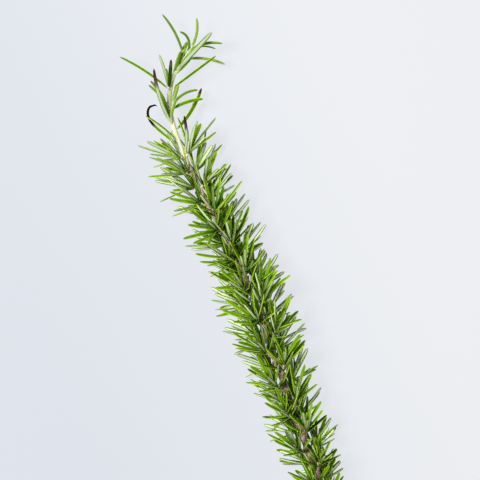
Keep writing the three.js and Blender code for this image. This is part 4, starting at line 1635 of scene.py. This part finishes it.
class Loom:
    """Weaves strands into leaves and twigs, by one Geometry Nodes tree.

    Its inputs are the strands, the leaf's section, the half width of a full leaf, the unit of a
    twig's radius, the number of a twig's sides, how deep bark is cut, and the two finishes.
    """

    inputs = (
        ("Strands", "NodeSocketGeometry"),
        ("Leaf Section", "NodeSocketObject"),
        ("Leaf Half Width", "NodeSocketFloat"),
        ("Twig Radius", "NodeSocketFloat"),
        ("Twig Sides", "NodeSocketInt"),
        ("Bark Relief", "NodeSocketFloat"),
        ("Leaf Finish", "NodeSocketMaterial"),
        ("Twig Finish", "NodeSocketMaterial"),
    )
    rows = ("girth", "along", "age", "tone", "dead", "cut", "swell", "depth")
    ridges_per_metre = (1400, 220, 1400)
    smooth_age = 0.9

    def __init__(self, shift: Array) -> None:
        """Builds the tree.

        Args:
            shift: From where a strand grows to its place in the frame, in millimetres.
        """
        self.shift = shift
        self.tree = bpy.data.node_groups.new("loom", "GeometryNodeTree")
        for name, kind in self.inputs:
            self.tree.interface.new_socket(name, in_out="INPUT", socket_type=kind)
        self.tree.interface.new_socket("Woven", in_out="OUTPUT", socket_type="NodeSocketGeometry")
        self.keys = {
            item.name: item.identifier
            for item in self.tree.interface.items_tree
            if item.in_out == "INPUT"
        }
        self.section = self.make_section()
        self.lay_out()

    @staticmethod
    def make_section() -> bpy.types.Object:
        """The closed outline that a leaf's strand is drawn through."""
        count = len(LEAF_SECTION)
        points = np.array([(corner.up, corner.across, 0) for corner in LEAF_SECTION])
        edges = [(index, (index + 1) % count) for index in range(count)]
        rows = {
            key: np.array([getattr(corner, key) for corner in LEAF_SECTION], float)
            for key in ("rim", "rib", "felt", "top")
        }
        return add_object("leaf_section", point_mesh("leaf", points, edges, rows))

    def lay_out(self) -> None:
        """Lays out the tree: strands of wood and of leaves part, are drawn, and join again."""
        graph = LoomGraph(self.tree)
        given = graph.node("NodeGroupInput").outputs
        woody = graph.named("woody", "BOOLEAN")
        sockets = {"Geometry": given["Strands"], "Selection": woody}
        parts = graph.node("GeometryNodeSeparateGeometry", {"domain": "POINT"}, sockets).outputs
        lines = [graph.first("GeometryNodeMeshToCurve", part) for part in parts]
        twigs = self.lay_out_twigs(graph, given, lines[0])
        leaves = self.lay_out_leaves(graph, given, lines[1])
        joined = graph.node("GeometryNodeJoinGeometry")
        for part in (leaves, twigs):
            self.tree.links.new(part, joined.inputs[0])
        woven = graph.first("GeometryNodeSetShadeSmooth", joined.outputs[0])
        woven = graph.first("GeometryNodeRealizeInstances", woven)
        for finish, chosen in (("Leaf Finish", True), ("Twig Finish", woody)):
            sockets = {"Geometry": woven, "Selection": chosen, "Material": given[finish]}
            woven = graph.node("GeometryNodeSetMaterial", None, sockets).outputs[0]
        self.tree.links.new(woven, graph.node("NodeGroupOutput").inputs[0])

    def lay_out_twigs(
        self, graph: LoomGraph, given: bpy.types.NodeOutputs, lines: Socket
    ) -> bpy.types.NodeSocket:
        """Lays out how twigs are drawn as tubes and ridged like bark, least where they are young.

        Args:
            graph: The loom's node tree.
            given: Its inputs.
            lines: The woody strands.

        Returns:
            The twigs.
        """
        circle = graph.first("GeometryNodeCurvePrimitiveCircle", given["Twig Sides"])
        tubes = graph.drawn(lines, circle, given["Twig Radius"])
        place = graph.node("GeometryNodeInputPosition").outputs[0]
        settings = {"operation": "MULTIPLY"}
        placed = graph.first("ShaderNodeVectorMath", place, self.ridges_per_metre, **settings)
        sockets = {"Vector": placed, "Scale": 1.0, "Detail": 2.0}
        ridges = graph.node("ShaderNodeTexNoise", None, sockets).outputs["Fac"]
        level = graph.first("ShaderNodeMath", ridges, 0.5, operation="SUBTRACT")
        ages = (0.0, self.smooth_age, 1.0, 0.0)
        old = graph.first("ShaderNodeMapRange", graph.named("age"), *ages)
        depth = graph.times(graph.times(level, given["Bark Relief"]), old)
        sockets = {"Vector": graph.node("GeometryNodeInputNormal").outputs[0], "Scale": depth}
        push = graph.node("ShaderNodeVectorMath", {"operation": "SCALE"}, sockets).outputs[0]
        sockets = {"Geometry": tubes, "Offset": push}
        return graph.node("GeometryNodeSetPosition", None, sockets).outputs[0]

    def lay_out_leaves(
        self, graph: LoomGraph, given: bpy.types.NodeOutputs, lines: Socket
    ) -> bpy.types.NodeSocket:
        """Lays out how the leaf's section is drawn along each leaf, turned the way it faces.

        Args:
            graph: The loom's node tree.
            given: Its inputs.
            lines: The leafy strands.

        Returns:
            The leaves.
        """
        sockets = {"Curve": lines, "Normal": graph.named("facing", "FLOAT_VECTOR")}
        turned = graph.node("GeometryNodeSetCurveNormal", {"mode": "FREE"}, sockets).outputs[0]
        outline = graph.node("GeometryNodeObjectInfo", None, {"Object": given["Leaf Section"]})
        section = graph.first("GeometryNodeMeshToCurve", outline.outputs["Geometry"])
        return graph.drawn(turned, section, given["Leaf Half Width"])

    def weave(
        self,
        name: str,
        strands: Sequence[Strand],
        finishes: dict[Slot, bpy.types.Material],
        slot: Slot,
        bark: Bark,
    ) -> None:
        """Weaves the strands of one piece into its mesh, and hands it to the frame.

        Args:
            name: The piece's name, and the name of the solid that it stands for.
            strands: What to weave.
            finishes: The material of each slot.
            slot: The slot that the piece takes its finish from.
            bark: How its twigs are drawn.
        """
        counts = [len(strand.points) for strand in strands]
        starts = np.concatenate([[0], np.cumsum(counts)])
        edges = [
            (int(start) + step, int(start) + step + 1)
            for start, count in zip(starts, counts)
            for step in range(count - 1)
        ]
        points = (np.vstack([strand.points for strand in strands]) + self.shift) * METRES
        rows = {key: np.concatenate([each.row(key) for each in strands]) for key in self.rows}
        rows["facing"] = np.vstack([strand.facing for strand in strands])
        mesh = point_mesh(name, points, edges, rows)
        woody = mesh.attributes.new("woody", "BOOLEAN", "POINT")
        woody.data.foreach_set("value", np.repeat([strand.woody for strand in strands], counts))
        piece = add_object(f"{name}_woven", mesh)
        modifier = piece.modifiers.new("loom", "NODES")
        modifier.node_group = self.tree
        settings = {
            "Leaf Section": self.section,
            "Leaf Half Width": LEAF_WIDTH / 2 * METRES,
            "Twig Radius": METRES,
            "Twig Sides": bark.sides,
            "Bark Relief": bark.relief,
            "Leaf Finish": finishes[Slot.LEAF if slot is Slot.BARK else slot],
            "Twig Finish": finishes[Slot.BARK],
        }
        for key, value in settings.items():
            modifier[self.keys[key]] = value
        graph = bpy.context.evaluated_depsgraph_get()
        woven = bpy.data.meshes.new_from_object(
            piece.evaluated_get(graph), preserve_all_data_layers=True, depsgraph=graph
        )
        piece.modifiers.clear()
        piece.data = woven
        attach(piece, "root")
        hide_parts(name)
        LOG.info("%s: %d strands, %d faces", name, len(strands), len(woven.polygons))

    def put_away(self) -> None:
        """Removes the leaf's section, which isn't part of the sprig."""
        bpy.data.objects.remove(self.section)


# ------------------------------------------------------------------ the sprig


@dataclass
class Sprig:
    """The whole sprig: the tip, then the shoots on the upper side, then those underneath."""

    line: StemLine = field(default_factory=StemLine)
    ball_spacing: float = 2
    row_turns: Rows = ((0, 44), (50, 40), (80, 27), (175, 22), (200, 50), (220, 62))
    opposite: float = 172
    turn_stray: Stray = Stray(1, 5)
    place_stray: Stray = Stray(4, 0.8)
    pair_stray: Stray = Stray(5, 17)
    first_shoot: int = 100
    cover_within: float = 90
    stem_bark: Bark = Bark(32, 0.00035)
    tip_bark: Bark = Bark(12)
    shoot_bark: Bark = Bark(8, 0.0001)
    tips: tuple[TipPiece, ...] = TIP_PIECES
    shoots: list[SideShoot] = field(default_factory=list)

    def grow(self) -> None:
        """Grows every strand of the sprig."""
        thicket = Thicket()
        places = np.arange(0, self.line.length, self.ball_spacing)
        line = [self.line.place(at) for at in places]
        radii = np.array([place.radius for place in line]) * self.line.node_swell + ROOM
        thicket.add(np.array([place.centre for place in line]), radii, 0, np.zeros(len(line)))
        for index, piece in enumerate(self.tips):
            piece.grow(self.line, thicket, index + 1)
        for under, rank in enumerate(("upper", "lower")):
            for node, place in reversed(list(enumerate(self.line.nodes()))):
                seed = node * 2 + under + 1
                row = look_up(self.row_turns, place) + self.pair_stray.of(node)
                row -= self.opposite * under
                turn = (row if node % 2 == 0 else -row) + self.turn_stray.of(seed)
                name = f"shoot_{node + 1:02d}_{rank}"
                at = place + self.place_stray.of(seed)
                owner = self.first_shoot + seed
                shoot = SideShoot(self.line, thicket, name, at, turn, seed, owner)
                shoot.grow_axis()
                self.shoots.append(shoot)
        for shoot in self.shoots:
            shoot.grow_leaves()
        for shoot in self.shoots:
            shoot.grow_late_leaves()
        for shoot in self.shoots:
            if abs(shoot.turn) < self.cover_within:
                shoot.grow_cover_leaves()

    def shift(self) -> Array:
        """How far the sprig moves from where it grows to its place in the frame, in millimetres."""
        return np.array(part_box("stem")[0]) / METRES - self.line.solid_corner()

    def build(self, loom: Loom, finishes: dict[Slot, bpy.types.Material]) -> None:
        """Weaves and dresses every piece.

        Args:
            loom: What weaves the strands.
            finishes: The material of each slot.
        """
        stem = Stem(self.line)
        loom.weave("stem", stem.strands(), finishes, Slot.BARK, self.stem_bark)
        slots = {"leaf_left_dead": Slot.DEAD, "tip_tuft": Slot.YOUNG}
        for piece in self.tips:
            young = Slot.YOUNG if piece.foot is Foot.BUD else Slot.LEAF
            slot = slots.get(piece.name, young)
            loom.weave(piece.name, piece.strands(), finishes, slot, self.tip_bark)
        for shoot in self.shoots:
            strands = shoot.strands()
            # how deep each strand lies in the brush, which the leaf finish paints as shade
            for strand in strands:
                strand.depth = self.line.depth(strand.points)
            loom.weave(shoot.name, strands, finishes, Slot.LEAF, self.shoot_bark)


# ------------------------------------------------------------------ the studio


@dataclass(frozen=True)
class Lamp:
    """A soft square light that faces the sprig: its place, side and power in metres and watts."""

    name: str
    place: tuple[float, float, float]
    side: float
    power: float

    def hang(self) -> None:
        """Hangs it over the table."""
        light = bpy.data.lights.new(self.name, "AREA")
        light.size = self.side
        light.energy = self.power
        hung = add_object(self.name, light)
        hung.location = self.place
        hung.rotation_euler = (-Vector(self.place)).to_track_quat("-Z", "Y").to_euler()


@dataclass
class Studio:
    """The table, the lights and the camera over it."""

    frame_width: float = 0.2544
    height: float = 1.5
    sprig_height: float = 0.014
    sensor: float = 36.0
    sight: float = 20.0
    roll: float = 20.0
    table_size: float = 6.0
    sky: Colour = (0.96, 0.98, 1.0, 1.0)
    sky_strength: float = 0.2
    lamps: tuple[Lamp, ...] = (
        Lamp("key", (-0.5, 0.4, 1.0), 0.38, 21.5),
        Lamp("fill", (0.8, -0.2, 0.8), 0.9, 3.0),
    )

    def build(self, centre: Vector) -> None:
        """Sets up the whole studio.

        Args:
            centre: The point that the camera looks at.
        """
        self.lay_table()
        for lamp in self.lamps:
            lamp.hang()
        world = bpy.data.worlds.new("studio")
        world.use_nodes = True
        background = world.node_tree.nodes["Background"]
        background.inputs["Color"].default_value = self.sky
        background.inputs["Strength"].default_value = self.sky_strength
        bpy.context.scene.world = world
        bpy.context.scene.view_settings.view_transform = "Standard"
        self.point_camera(centre)

    def lay_table(self) -> None:
        """Lays the pale table under the sprig."""
        half = self.table_size / 2
        corners = [(-half, -half, 0), (half, -half, 0), (half, half, 0), (-half, half, 0)]
        mesh = bpy.data.meshes.new("table")
        mesh.from_pydata(corners, [], [(0, 1, 2, 3)])
        mesh.materials.append(TableFinish("table").material())
        add_object("table", mesh)

    def point_camera(self, centre: Vector) -> None:
        """Hangs the camera straight over the sprig, rolled so that the sprig leans.

        Args:
            centre: The point that it looks at.
        """
        data = bpy.data.cameras.new("camera")
        data.sensor_width = self.sensor
        data.lens = self.sensor * (self.height - self.sprig_height) / self.frame_width
        data.clip_end = self.sight
        camera = add_object("camera", data)
        place = Matrix.Translation((centre.x, centre.y, self.height))
        camera.matrix_world = place @ Matrix.Rotation(math.radians(-self.roll), 4, "Z")
        bpy.context.scene.camera = camera


def make_finishes() -> dict[Slot, bpy.types.Material]:
    """The material of each slot."""
    young = LeafFinish(
        "young_leaf",
        deep=colour(56, 94, 24),
        bright=colour(106, 142, 30),
        young=colour(140, 166, 76),
        edge_highlight=colour(164, 190, 96),
        felt=colour(172, 186, 140),
        young_felt=colour(162, 174, 146),
    )
    dead = LeafFinish("dead_leaf", browned=colour(52, 30, 28), dried=colour(22, 11, 13))
    return {
        Slot.BARK: BarkFinish("bark").material(),
        Slot.LEAF: LeafFinish("leaf").material(),
        Slot.YOUNG: young.material(),
        Slot.DEAD: dead.material(),
    }


def main() -> None:
    """Grows the sprig, weaves it, and sets up the studio."""
    logging.basicConfig(level=logging.INFO, format="%(message)s")
    sprig = Sprig()
    sprig.grow()
    shift = sprig.shift()
    LOG.info("grown: %d leaves", sum(len(part.leaves) for part in (*sprig.tips, *sprig.shoots)))
    loom = Loom(shift)
    sprig.build(loom, make_finishes())
    loom.put_away()
    Studio().build(Vector(shift * METRES))


if __name__ == "__main__":
    main()
